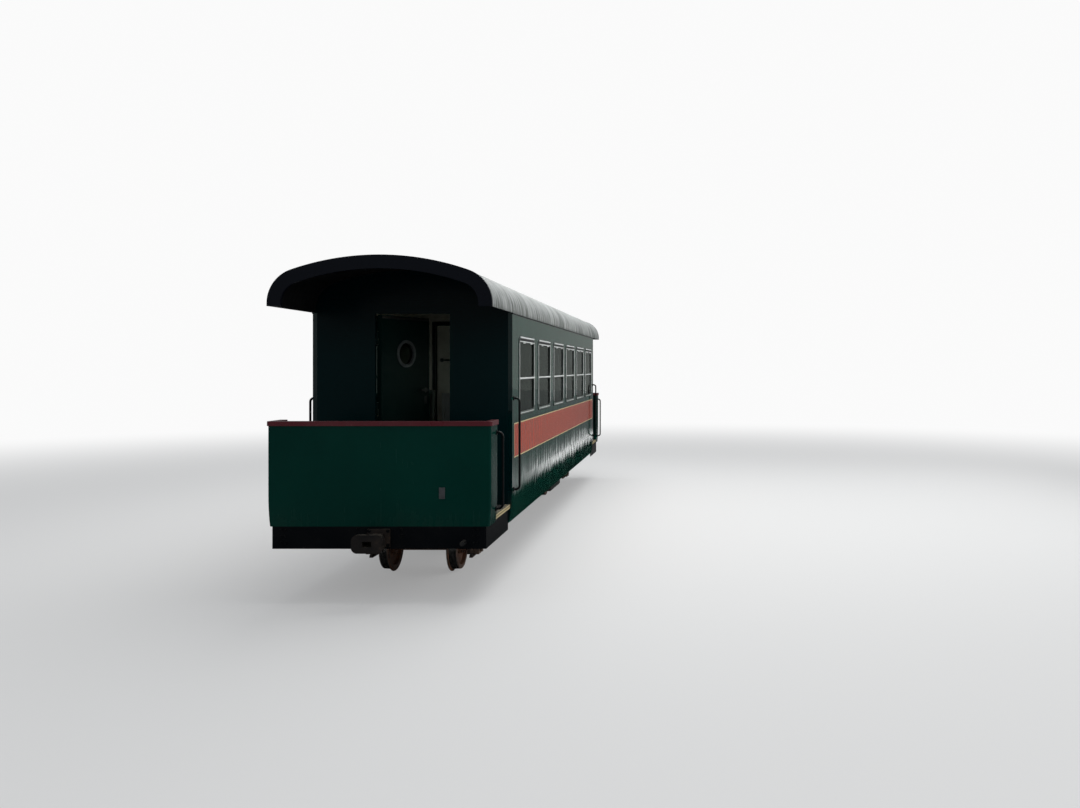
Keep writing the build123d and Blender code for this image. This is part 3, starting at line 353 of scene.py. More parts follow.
def makePaint(name):
    colour, worn, roughness, wear, gloss = paints[name]
    worn = shade(*worn)
    finish = Finish(name)
    cloud = finish.noise(3.6, 5.0, 0.62)
    rub = finish.noise(34.0, 4.0, 0.7)
    chips = finish.ease(rub, 0.56, 0.66) * finish.ease(cloud, 0.45, 0.7)
    tone = finish.mix(finish.ease(cloud, 0.3, 0.8) * wear * 0.5, shade(*colour), worn)
    tone = finish.mix(chips * wear, tone, worn)
    up = finish.ease(finish.facing()[2], 0.6, 0.95)
    dusty = up * finish.ease(rub, 0.35, 0.7) * wear * 0.55
    tone = finish.mix(dusty, tone, shade(112, 104, 92))
    rough = cloud * 0.16 + (roughness - 0.06) + chips * 0.2
    normal = finish.bump(rub + chips, 0.0004, 0.7)
    return finish.done(tone, rough, normal, {"Specular IOR Level": gloss})


def makeRunningGear():
    # Black frames under a coat of brake dust, oily round the axleboxes
    finish = Finish("dustyRunningGear")
    z = finish.axes()[2]
    cloud = finish.noise(5.0, 6.0, 0.68)
    dust = finish.ease(cloud, 0.38, 0.72) * (1 - finish.ease(z, 0.28, 0.6) * 0.55)
    tone = finish.mix(dust * 0.8, shade(40, 38, 37), shade(122, 94, 70))
    oil = finish.ease(finish.noise(11.0, 3.0), 0.58, 0.7)
    tone = finish.mix(oil * 0.5, tone, shade(16, 16, 16))
    up = finish.upward()
    tone = finish.mix(up * 0.6, tone, shade(134, 114, 90))
    rough = dust * 0.3 + 0.48 - oil * 0.22
    normal = finish.bump(finish.noise(90.0, 4.0, 0.7), 0.0008, 0.7)
    return finish.done(tone, rough, normal)


def makeWheelSteel():
    # Rusty wheel centres and a bright rolled band on each tread
    finish = Finish("wheelSteel")
    x, y, z = finish.axes()
    across = abs(y)
    rust = finish.ease(finish.noise(16.0, 6.0, 0.7), 0.3, 0.7)
    tone = finish.mix(rust, shade(84, 64, 54), shade(130, 88, 62))
    sides = abs(finish.facing()[1])
    rolled = (1 - finish.ease(sides, 0.25, 0.6)) * finish.between(across, 0.285, 0.372, 0.004)
    wheelX = abs(abs(x) - coach["pivot"]) - coach["wheelbase"] / 2
    wheelZ = z - coach["axleHeight"]
    radius = (wheelX * wheelX + wheelZ * wheelZ) ** 0.5
    rolled = rolled * finish.ease(radius, 0.215, 0.222)
    scratch = finish.noise(1.0, 3.0, 0.6, (40.0, 600.0, 40.0))
    bright = finish.mix(scratch, shade(150, 148, 144), shade(196, 194, 190))
    tone = finish.mix(rolled, tone, bright)
    face = finish.between(radius, 0.19, 0.232, 0.002) * (1 - rolled)
    tone = finish.mix(face * 0.5, tone, shade(70, 66, 62))
    rough = 0.72 - rolled * 0.45
    normal = finish.bump(rust * (1 - rolled), 0.0008, 0.6)
    return finish.done(tone, rough, normal, {"Metallic": rolled * 0.95})


alloys = {  # name: colour, worn colour, metallic share, roughness
    "frameAlloy": ((96, 107, 100), (72, 82, 76), 0.35, 0.3),
    # Painted highlight: the beads are near white and little metallic, to look as bright as polished
    # metal catching the light
    "beadAlloy": ((246, 248, 246), (204, 208, 204), 0.15, 0.24),
    # Painted shade: this dull dark grey stands for the porthole rings in the shade of the doorway;
    # the panel plates share it as their own dull alloy
    "ringAlloy": ((88, 90, 92), (58, 60, 62), 0.5, 0.34),
}


def makeAlloy(name):
    colour, worn, metal, roughness = alloys[name]
    finish = Finish(name)
    brushed = finish.noise(1.0, 4.0, 0.6, (30.0, 30.0, 500.0))
    dull = finish.ease(finish.noise(12.0, 5.0, 0.7), 0.4, 0.72)
    tone = finish.mix(dull * 0.6, shade(*colour), shade(*worn))
    rough = brushed * 0.12 + dull * 0.18 + roughness
    return finish.done(tone, rough, finish.bump(brushed, 0.00015, 0.5), {"Metallic": metal})


glass = {"clear": shade(114, 127, 120), "filmed": shade(98, 108, 100), "index": 1.07}


def makeGlass():
    finish = Finish("windowGlass")
    film = finish.ease(finish.noise(6.0, 5.0, 0.65), 0.45, 0.85)
    tone = finish.mix(film * 0.5, glass["clear"], glass["filmed"])
    through = {"Transmission Weight": 1.0, "IOR": glass["index"]}
    return finish.done(tone, film * 0.04 + 0.012, None, through)


def makeRubber():
    finish = Finish("glazingRubber")
    chalk = finish.ease(finish.noise(30.0, 5.0, 0.7), 0.45, 0.75)
    tone = finish.mix(chalk * 0.5, shade(20, 20, 21), shade(58, 57, 55))
    normal = finish.bump(finish.noise(220.0, 2.0), 0.0002, 0.5)
    return finish.done(tone, chalk * 0.15 + 0.6, normal)


def makeTreadPaint():
    # Cream nosing with boot scuffs down to grey metal on its top
    finish = Finish("creamTread")
    x, y, z = finish.axes()
    scuff = finish.noise(1.0, 5.0, 0.7, (9.0, 60.0, 60.0))
    up = finish.upward()
    worn = finish.ease(scuff, 0.45, 0.62) * 0.35
    aged = finish.noise(14.0, 4.0) * 0.6
    tone = finish.mix(aged, shade(205, 188, 138), shade(178, 160, 116))
    low = z - coach["floor"]
    middle = finish.between(low, -0.02, -0.003, 0.0015)
    tone = finish.mix(middle * (1 - up) * 0.75, tone, shade(112, 94, 64))
    edge = finish.ease(abs(y), 0.928, 0.932)
    tone = finish.mix(up * (1 - edge * 0.9), tone, shade(66, 66, 66))
    tone = finish.mix(worn, tone, shade(98, 92, 82))
    rough = 0.55 - worn * 0.15
    normal = finish.bump(scuff, 0.0006, 0.6)
    return finish.done(tone, rough, normal)


def makeFloorBoards():
    # Boards along the cabin under brown lino, and dark ribbed rubber on the balconies
    finish = Finish("floorBoards")
    x, y, z = finish.axes()
    deck = finish.ease(abs(x), 3.5, 3.53)
    ribs = y.wave(0.012)
    speckle = finish.noise(60.0, 5.0, 0.75)
    path = 1 - finish.ease(abs(y - 0.18), 0.1, 0.32)
    lino = finish.mix(speckle, shade(88, 66, 50), shade(112, 86, 64))
    lino = finish.mix(path * 0.4, lino, shade(70, 58, 48))
    gritty = finish.ease(speckle, 0.4, 0.7)
    rubber = finish.mix(gritty, shade(34, 34, 35), shade(74, 70, 64))
    top = finish.upward()
    grain = finish.noise(1.0, 5.0, 0.6, (2.0, 40.0, 40.0))
    timber = finish.mix(grain, shade(84, 70, 54), shade(52, 44, 36))
    tone = finish.mix(top, timber, finish.mix(deck, lino, rubber))
    height = deck * ribs + (1 - deck) * speckle * 0.1
    normal = finish.bump(height, 0.0014, 0.8)
    rough = deck * 0.15 + 0.5 + speckle * 0.1
    return finish.done(tone, rough, normal)


def makeCloth():
    # Woven moquette: crossing threads and a small two-tone figure
    finish = Finish("seatMoquette")
    x, y, z = finish.axes()
    warp = (x + z * 0.7).wave(0.0032)
    weft = y.wave(0.0032)
    figure = (x + z).wave(0.06) * y.wave(0.06)
    worn = finish.ease(finish.noise(5.0, 4.0), 0.4, 0.75)
    tone = finish.mix(finish.ease(figure, 0.5, 0.6), shade(26, 74, 60), shade(112, 48, 44))
    tone = finish.mix(warp * weft * 0.45, tone, shade(18, 30, 28))
    tone = finish.mix(worn * 0.35, tone, shade(98, 104, 90))
    rough = 0.86 - worn * 0.06
    normal = finish.bump(warp * weft, 0.0007, 0.7)
    return finish.done(tone, rough, normal, {"Sheen Weight": 0.35})


sidePaint = makeSidePaint()
endPaint = makeEndPaint()
roofFinish = makeRoofPaint()
painted = {name: makePaint(name) for name in paints}
runningGear = makeRunningGear()
wheelSteel = makeWheelSteel()
alloy = {name: makeAlloy(name) for name in alloys}
paneGlass = makeGlass()
rubber = makeRubber()
treadPaint = makeTreadPaint()
floorBoards = makeFloorBoards()
moquette = makeCloth()
print("materials made")


ends = ("front", "rear")
flanks = ("left", "right")
variants = ("", *[f"_{kind}" for kind in (*flanks, *ends, 1, 2, 3, 4)])


def dress(material, *stems):
    # A stem stands for the node of that name and its left, right, front, rear or numbered ones
    for name in [stem + variant for stem in stems for variant in variants]:
        if name in nodes:
            for materialSlot in nodes[name].material_slots:
                materialSlot.link = "OBJECT"
                materialSlot.material = material


dress(sidePaint, "side")
dress(endPaint, "bulkhead", "balcony_panel")
dress(roofFinish, "roof")
dress(painted["rimPaint"], "roof_rim")
dress(painted["capPaint"], "cap_rail")
dress(painted["handrailPaint"], "handrails")
dress(painted["doorPaint"], "end_door", "door_hinges")
dress(painted["palePaint"], "partition", "partition_door")
dress(painted["trimPaint"], "partition_frame")
dress(painted["blackHandle"], "door_handle", "partition_handle")
dress(alloy["frameAlloy"], "window_frames")
dress(alloy["ringAlloy"], "porthole_rings")
dress(paneGlass, "window_glass", "door_glass")
dress(treadPaint, "entrance_treads")
dress(floorBoards, "floor")
dress(painted["underPaint"], "sole_bars", "cross_members", "draw_beams", "headstocks")
dress(runningGear, "bogie_frame", "axleboxes", "brake_gear")
dress(wheelSteel, "wheelset")
dress(painted["blackIron"], "coupler")
dress(painted["boxPaint"], "brake_pipe", "vacuum_cylinder", "battery_box")
dress(painted["seatFramePaint"], "seat_frames")
print("frame nodes dressed")


# Mesh helpers

def addPiece(name, mesh, material, body):
    piece = bpy.data.objects.new(name, mesh)
    scene.collection.objects.link(piece)
    if material:
        mesh.materials.clear()
        mesh.materials.append(material)
    for polygon in mesh.polygons:
        polygon.use_smooth = True
    mesh.set_sharp_from_angle(angle=math.radians(34))
    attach(piece, body)
    return piece


def tidyNormals(bm):
    bmesh.ops.recalc_face_normals(bm, faces=bm.faces)


def meshOf(name, bm):
    mesh = bpy.data.meshes.new(name)
    bm.to_mesh(mesh)
    bm.free()
    return mesh


def addShape(name, bm, material, body):
    tidyNormals(bm)
    return addPiece(name, meshOf(name, bm), material, body)


def addBox(bm, first, second, bevel=0.0):
    # A box between two opposite corners, in any order
    low, high = zip(*[sorted(pair) for pair in zip(first, second)])
    made = bmesh.ops.create_cube(bm, size=1.0)["verts"]
    size = [high[axis] - low[axis] for axis in range(3)]
    centre = [(high[axis] + low[axis]) / 2 for axis in range(3)]
    bmesh.ops.scale(bm, vec=size, verts=made)
    bmesh.ops.translate(bm, vec=centre, verts=made)
    if bevel:
        edges = {edge for vert in made for edge in vert.link_edges}
        bmesh.ops.bevel(bm, geom=list(edges), offset=bevel, segments=2, affect="EDGES", profile=0.7)


def turned(direction):
    return Vector(direction).to_track_quat("Z", "Y").to_matrix().to_4x4()


def addDisc(bm, centre, direction, radius, depth, segments=24, bevel=0.0):
    matrix = Matrix.Translation(Vector(centre) + Vector(direction) * depth / 2) @ turned(direction)
    made = bmesh.ops.create_cone(bm, cap_ends=True, segments=segments, radius1=radius,
                                 radius2=radius, depth=depth, matrix=matrix)["verts"]
    if bevel:
        edges = {edge for vert in made for edge in vert.link_edges if len(edge.link_faces) == 2}
        rim = [edge for edge in edges if any(len(face.verts) > 4 for face in edge.link_faces)]
        bmesh.ops.bevel(bm, geom=rim, offset=bevel, segments=2, affect="EDGES", profile=0.7)


def addTube(bm, points, radius, sides=8, closed=False):
    # A round tube through points, with its frame carried along so that it doesn't twist
    points = [Vector(point) for point in points]
    count = len(points)
    rings = []
    reference = None
    for index, point in enumerate(points):
        before = points[(index - 1) % count] if closed or index else point
        after = points[(index + 1) % count] if closed or index < count - 1 else point
        tangent = (after - before).normalized()
        if reference is None:
            guess = Vector((0, 0, 1)) if abs(tangent.z) < 0.9 else Vector((1, 0, 0))
            reference = tangent.cross(guess).normalized()
        reference = (reference - tangent * reference.dot(tangent)).normalized()
        binormal = tangent.cross(reference)
        ring = []
        for side in range(sides):
            angle = 2 * math.pi * side / sides
            offset = reference * math.cos(angle) + binormal * math.sin(angle)
            ring.append(bm.verts.new(point + offset * radius))
        rings.append(ring)
    spans = count if closed else count - 1
    for index in range(spans):
        here, there = rings[index], rings[(index + 1) % count]
        for side in range(sides):
            nextSide = (side + 1) % sides
            bm.faces.new((here[side], here[nextSide], there[nextSide], there[side]))
    if not closed:
        bm.faces.new(list(reversed(rings[0])))
        bm.faces.new(rings[-1])


def roundedLoop(middleX, middleZ, width, height, corner, steps=5):
    # Points round a rectangle with round corners, as (x, z)
    points = []
    corners = ((1, 1, 0), (-1, 1, 90), (-1, -1, 180), (1, -1, 270))
    for signX, signZ, start in corners:
        for step in range(steps + 1):
            angle = math.radians(start + 90 * step / steps)
            points.append((
                middleX + signX * (width / 2 - corner) + corner * math.cos(angle),
                middleZ + signZ * (height / 2 - corner) + corner * math.sin(angle),
            ))
    return points


fourWays = [(one, other) for one in (-1, 1) for other in (-1, 1)]
hingeMove = Matrix.Translation((*door["hinge"], 0))
doorTurn = {
    "front": hingeMove @ Matrix.Rotation(door["open"], 4, "Z") @ hingeMove.inverted(),
    "rear": Matrix.Rotation(math.pi, 4, "Z"),
}


# Fasteners: one Geometry Nodes tree sets a head on every point, square to its own facing

fasteners = {
    "hexBolt": {"radius": 0.011, "height": 0.008, "sides": 6, "washer": 0.0155},
    "smallHex": {"radius": 0.0075, "height": 0.006, "sides": 6, "washer": 0.011},
    "screw": {"radius": 0.0045, "height": 0.0016, "sides": 12, "washer": 0.0},
    "rivet": {"radius": 0.008, "height": 0.004, "sides": 10, "washer": 0.0},
    "pinHead": {"radius": 0.012, "height": 0.007, "sides": 16, "washer": 0.0},
}
headTaper, washerDepth, washerSides = 0.86, 0.003, 14


def startTree(name, wanted):
    # A tree with the inputs that wanted names, and the function that adds a linked node to it
    tree = bpy.data.node_groups.new(name, "GeometryNodeTree")
    for label, kind in wanted.items():
        tree.interface.new_socket(label, in_out="INPUT", socket_type=f"NodeSocket{kind}")
    tree.interface.new_socket("Shape", in_out="OUTPUT", socket_type="NodeSocketGeometry")

    def add(kind, settings=None, sockets=None):
        made = tree.nodes.new(kind)
        for key, value in (settings or {}).items():
            setattr(made, key, value)
        for key, value in (sockets or {}).items():
            if isinstance(value, bpy.types.NodeSocket):
                tree.links.new(value, made.inputs[key])
            else:
                made.inputs[key].default_value = value
        return made.outputs[0] if made.outputs else made

    return tree, tree.nodes.new("NodeGroupInput").outputs, add


def endTree(add, shape, finish):
    real = add("GeometryNodeRealizeInstances", None, {0: shape})
    coated = add("GeometryNodeSetMaterial", None, {"Geometry": real, "Material": finish})
    add("NodeGroupOutput", None, {0: coated})


def fastenerTree():
    tree, inputs, add = startTree("fastenerHeads", {
        "Points": "Geometry", "Radius": "Float", "Height": "Float", "Washer": "Float",
        "Sides": "Int", "Finish": "Material"})
    narrow = add("ShaderNodeMath", {"operation": "MULTIPLY"}, {0: inputs["Radius"], 1: headTaper})
    head = add("GeometryNodeMeshCone", {"fill_type": "NGON"}, {
        "Vertices": inputs["Sides"], "Radius Bottom": inputs["Radius"], "Radius Top": narrow,
        "Depth": inputs["Height"]})
    washer = add("GeometryNodeMeshCylinder", None, {
        "Vertices": washerSides, "Depth": washerDepth, "Radius": inputs["Washer"]})
    both = add("GeometryNodeJoinGeometry", None, {0: head})
    tree.links.new(washer, both.node.inputs[0])
    vectors = {"data_type": "FLOAT_VECTOR"}
    facing = add("GeometryNodeInputNamedAttribute", vectors, {"Name": "facing"})
    align = add("FunctionNodeAlignRotationToVector", {"axis": "Z"}, {"Vector": facing})
    points = add("GeometryNodeMeshToPoints", None, {"Mesh": inputs["Points"]})
    placed = add("GeometryNodeInstanceOnPoints", None, {
        "Points": points, "Instance": both, "Rotation": align})
    endTree(add, placed, inputs["Finish"])
    return tree


headTree = fastenerTree()


def bakeTree(name, source, tree, values, body):
    # Runs the tree on a source mesh once and keeps the result as a plain piece
    holder = bpy.data.objects.new(name + "Source", source)
    scene.collection.objects.link(holder)
    modifier = holder.modifiers.new("tree", "NODES")
    modifier.node_group = tree
    for item in tree.interface.items_tree:
        if item.in_out == "INPUT" and item.name in values:
            modifier[item.identifier] = values[item.name]
    graph = bpy.context.evaluated_depsgraph_get()
    mesh = bpy.data.meshes.new_from_object(holder.evaluated_get(graph))
    holder.modifiers.remove(modifier)
    bpy.data.objects.remove(holder)
    mesh.name = name
    return addPiece(name, mesh, None, body)


def setFasteners(name, kind, places, material, body):
    # places: (point, facing) pairs, where each head's underside stands on its point
    look = fasteners[kind]
    source = bpy.data.meshes.new(name + "Points")
    source.from_pydata([tuple(point) for point, facing in places], [], [])
    attribute = source.attributes.new("facing", "FLOAT_VECTOR", "POINT")
    for index, (point, facing) in enumerate(places):
        attribute.data[index].vector = Vector(facing).normalized()
    values = {
        "Radius": look["radius"], "Height": look["height"], "Washer": look["washer"],
        "Sides": look["sides"], "Finish": material,
    }
    return bakeTree(name, source, headTree, values, body)


def onCircle(radius, degrees):
    angle = math.radians(degrees)
    return radius * math.cos(angle), radius * math.sin(angle)


def outlineY(z):
    # Half width of the body's outer face at a height
    below, radius = max(coach["turnTop"] - z, 0), coach["turnRadius"]
    return coach["halfWidth"] - radius + math.sqrt(radius ** 2 - below ** 2)


# Windows: rubber round every frame and light, and polished beads over head, vent and bar, with
# their highlight painted in as a near-white colour

glazing = {
    "outerRubber": 0.0045, "innerRubber": 0.003, "gasket": (2.288, 2.311), "gasketDepth": 0.003,
    "gasketInset": 0.045, "edgeBead": 0.0028, "edgeInset": 0.012, "edgeEnds": (0.065, 0.062),
    "catch": 0.2, "catchHalf": 0.028, "catchHeights": (2.262, 2.272), "catchDepth": 0.012,
    "sink": 0.002, "seamGap": 0.002, "seamOut": 0.0015, "lightGap": 0.003,
    # height, inset from each side, radius
    "beads": ((2.3195, 0.05, 0.008), (2.2795, 0.028, 0.0055), (1.91, 0.022, 0.0075),
              (1.5635, 0.05, 0.003)),
}

rubbers, beads = bmesh.new(), bmesh.new()
half, top = windows["width"] / 2, windows["low"] + windows["height"]
for side, middle in [(side, middle) for side in (-1, 1) for middle in windows["places"]]:
    face = side * windows["face"]
    gap = glazing["seamGap"]
    loop = roundedLoop(middle, windows["low"] + windows["height"] / 2, windows["width"] + gap,
                       windows["height"] + gap, windows["corner"])
    y = side * (coach["halfWidth"] + glazing["seamOut"])
    addTube(rubbers, [(x, y, z) for x, z in loop], glazing["outerRubber"], 6, True)
    for low, high in (windows["lowerLight"], windows["upperLight"]):
        gap = glazing["lightGap"]
        loop = roundedLoop(middle, (low + high) / 2, windows["width"] - 2 * windows["bar"] - gap,
                           high - low - gap, windows["lightCorner"] - glazing["seamGap"])
        y = face - side * (windows["glassDepth"] - glazing["innerRubber"])
        addTube(rubbers, [(x, y, z) for x, z in loop], glazing["innerRubber"], 6, True)
    reach = half - glazing["gasketInset"]
    low, high = glazing["gasket"]
    sunk = face - side * glazing["sink"]
    addBox(rubbers, (middle - reach, sunk, low),
           (middle + reach, face + side * glazing["gasketDepth"], high), 0.001)
    for z, inset, radius in glazing["beads"]:
        addTube(beads, [(middle + edge * (half - inset), face, z) for edge in (-1, 1)], radius)
    foot, head = windows["low"] + glazing["edgeEnds"][0], top - glazing["edgeEnds"][1]
    for edge in (-1, 1):
        x = middle + edge * (half - glazing["edgeInset"])
        addTube(beads, [(x, face, foot), (x, face, head)], glazing["edgeBead"])
    low, high = glazing["catchHeights"]
    for x in (middle - glazing["catch"], middle + glazing["catch"]):
        addBox(beads, (x - glazing["catchHalf"], sunk, low),
               (x + glazing["catchHalf"], face + side * glazing["catchDepth"], high), 0.002)
addShape("windowRubbers", rubbers, rubber, "coach")
addShape("windowBeads", beads, alloy["beadAlloy"], "coach")
print("windows finished")


# Roof edge: a dark bead under each eave, and screws round the rims

eave = {"radius": 0.006, "out": 0.002, "halfRoof": 0.955, "corner": 0.3, "spring": 0.025}
rim = {"screws": 14, "inset": 0.056}

bm = bmesh.new()
for side in (-1, 1):
    y = side * (coach["halfWidth"] + eave["out"])
    z = coach["eave"] - eave["radius"]
    addTube(bm, [(end * coach["cabinEnd"], y, z) for end in (-1, 1)], eave["radius"])
addShape("eaveBeads", bm, painted["trimPaint"], "coach")


def rimPoints(count, inset):
    # Points along the roof's arched end, from eave to eave
    corner = eave["corner"]
    cornerY, cornerZ = eave["halfRoof"] - corner, coach["eave"] + eave["spring"]
    rise = coach["roofTop"] - cornerZ
    crown = (cornerY ** 2 + rise ** 2 - corner ** 2) / (2 * (rise - corner))
    crownZ = coach["roofTop"] - crown
    angle = math.atan2(cornerZ - crownZ, cornerY)
    cornerRun = (corner - inset) * angle
    crownRun = (crown - inset) * (math.pi / 2 - angle)
    total = 2 * (cornerRun + crownRun)
    points = []
    for index in range(count):
        along = total * (index + 0.5) / count
        mirrored = along > total / 2
        run = total - along if mirrored else along
        if run < cornerRun:
            y, z = onCircle(corner - inset, math.degrees(run / (corner - inset)))
            y, z = cornerY + y, cornerZ + z
        else:
            swing = angle + (run - cornerRun) / (crown - inset)
            y, z = onCircle(crown - inset, math.degrees(swing))
            z = crownZ + z
        points.append((-y if mirrored else y, z))
    return points


places = []
for end in (-1, 1):
    for y, z in rimPoints(rim["screws"], rim["inset"]):
        places.append(((end * coach["bodyEnd"], y, z), (end, 0, 0)))
setFasteners("rimScrews", "screw", places, painted["rimPaint"], "coach")
print("roof edge finished")


# Handrail screws, cap rail screws, and the ribs that boots meet on the treads

railFeet = [(4.258, 0.785), (4.258, 1.45), (3.485, 0.85), (3.485, 1.725)]
footScrews = {"circle": 0.0165, "turns": (90, 210, 330), "stand": 0.006, "rise": 0.023}
places = []
for side, end in fourWays:
    for x, z in railFeet:
        y = side * (outlineY(z + footScrews["rise"]) + footScrews["stand"])
        for turn in footScrews["turns"]:
            across, up = onCircle(footScrews["circle"], turn)
            places.append(((end * x + across, y, z + up), (0, side, 0)))
setFasteners("handrailScrews", "screw", places, painted["handrailPaint"], "coach")

cap = {"x": 4.455, "top": 1.56, "first": -0.88, "step": 0.22, "returns": (4.33, 0.928)}
places = []
for end in (-1, 1):
    for step in range(9):
        places.append(((end * cap["x"], cap["first"] + cap["step"] * step, cap["top"]), (0, 0, 1)))
    x, y = cap["returns"]
    places += [((end * x, side * y, cap["top"]), (0, 0, 1)) for side in (-1, 1)]
setFasteners("capScrews", "screw", places, painted["capPaint"], "coach")

# A bare grey plate low on each balcony panel, right of the middle as seen from outside

plate = {
    "middle": -0.534, "width": 0.051, "low": 0.9, "high": 0.997, "thick": 0.006,
    "screwInset": 0.016, "sink": 0.001,
}

low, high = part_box("balcony_panel_front")
bm = bmesh.new()
places = []
for turn in (1, -1):
    face, middle = low[0] * turn, plate["middle"] * turn
    outer, half = face - turn * plate["thick"], plate["width"] / 2
    addBox(bm, (face + turn * plate["sink"], middle - half, plate["low"]),
           (outer, middle + half, plate["high"]), 0.0015)
    for z in (plate["low"] + plate["screwInset"], plate["high"] - plate["screwInset"]):
        places.append(((outer, middle, z), (-turn, 0, 0)))
addShape("panelPlates", bm, alloy["ringAlloy"], "coach")
setFasteners("plateScrews", "screw", places, alloy["ringAlloy"], "coach")


def ribTree():
    # Round ribs side by side: Count copies of a rod, Pitch apart
    tree, inputs, add = startTree("ribs", {
        "Start": "Geometry", "Length": "Float", "Pitch": "Float", "Radius": "Float",
        "Count": "Int", "Finish": "Material"})
    rod = add("GeometryNodeMeshCylinder", None, {
        "Vertices": 8, "Radius": inputs["Radius"], "Depth": inputs["Length"]})
    lay = add("GeometryNodeTransform", None, {"Rotation": (0, math.pi / 2, 0), "Geometry": rod})
    step = add("ShaderNodeCombineXYZ", None, {1: inputs["Pitch"]})
    line = add("GeometryNodeMeshLine", None, {"Count": inputs["Count"], "Offset": step})
    row = add("GeometryNodeInstanceOnPoints", None, {"Points": line, "Instance": lay})
    points = add("GeometryNodeMeshToPoints", None, {"Mesh": inputs["Start"]})
    spread = add("GeometryNodeInstanceOnPoints", None, {"Points": points, "Instance": row})
    endTree(add, spread, inputs["Finish"])
    return tree


tread = {
    "length": 0.62, "pitch": 0.009, "radius": 0.0016, "count": 4, "ends": (3.56, 4.228),
    "inset": 0.041,
}
low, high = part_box("entrance_treads")
source = bpy.data.meshes.new("treadStarts")
treadMiddle = sum(tread["ends"]) / 2
inner = high[1] - tread["inset"]
starts = (inner, -inner - tread["pitch"] * (tread["count"] - 1))
source.from_pydata([(end * treadMiddle, y, high[2]) for end in (-1, 1) for y in starts], [], [])
values = {"Length": tread["length"], "Pitch": tread["pitch"], "Radius": tread["radius"],
          "Count": tread["count"], "Finish": treadPaint}
bakeTree("treadRibs", source, ribTree(), values, "coach")
print("rails and treads finished")


# Seat pads: each kind is swelled once as cloth and copied to its places

pads = {
    "voxel": 0.012, "pressure": 3.2, "cap": 0.014, "bays": (-2.0, 0.42, 1.92), "backOut": 0.7,
    "depth": 0.43, "seatTop": 1.11, "backFoot": 0.36, "recline": 0.055, "backRise": 0.64,
    "seatDepth": 0.355, "seatThick": 0.06, "backThick": 0.045, "backGap": 0.072, "topGap": 0.012,
    "trim": 0.012,  # the slab starts smaller than its solid by what the cloth swells
    "frames": 20, "stiffness": 22, "mass": 0.3, "sideGap": 0.054, "edge": 0.012, "lift": 0.001,
}


def padMesh(name, corners, thickness):
    # A slab from its four side-view corners, (x, z) each, extruded across the seat
    bm = bmesh.new()
    half = thickness / 2
    sides = [[bm.verts.new((x, y, z)) for x, z in corners] for y in (-half, half)]
    bm.faces.new(sides[0])
    bm.faces.new(list(reversed(sides[1])))
    count = len(corners)
    for index in range(count):
        nextIndex = (index + 1) % count
        bm.faces.new((sides[0][index], sides[1][index], sides[1][nextIndex], sides[0][nextIndex]))
    tidyNormals(bm)
    bmesh.ops.bevel(bm, geom=list(bm.edges), offset=pads["edge"], segments=3, affect="EDGES",
                    profile=0.6)
    mesh = meshOf(name, bm)
    pad = bpy.data.objects.new(name, mesh)
    scene.collection.objects.link(pad)
    remesh = pad.modifiers.new("remesh", "REMESH")
    remesh.mode = "VOXEL"
    remesh.voxel_size = pads["voxel"]
    graph = bpy.context.evaluated_depsgraph_get()
    dense = bpy.data.meshes.new_from_object(pad.evaluated_get(graph))
    pad.modifiers.clear()
    pad.data = dense
    rest = [vertex.co.copy() for vertex in dense.vertices]
    cloth = pad.modifiers.new("cloth", "CLOTH")
    cloth.settings.use_pressure = True
    cloth.settings.uniform_pressure_force = pads["pressure"]
    cloth.settings.effector_weights.gravity = 0
    cloth.settings.tension_stiffness = pads["stiffness"]
    cloth.settings.mass = pads["mass"]
    cloth.point_cache.frame_start = 1
    cloth.point_cache.frame_end = pads["frames"]
    for number in range(1, pads["frames"] + 1):
        scene.frame_set(number)
    graph = bpy.context.evaluated_depsgraph_get()
    swelled = bpy.data.meshes.new_from_object(pad.evaluated_get(graph))
    for vertex, start in zip(swelled.vertices, rest):
        move = vertex.co - start
        if move.length > pads["cap"]:
            vertex.co = start + move.normalized() * pads["cap"]
    pad.modifiers.clear()
    scene.frame_set(1)
    pad.data = swelled
    mesh = pad.data
    bpy.data.objects.remove(pad)
    return mesh


def backX(z):
    return pads["backFoot"] + pads["recline"] * (z - pads["seatTop"]) / pads["backRise"]


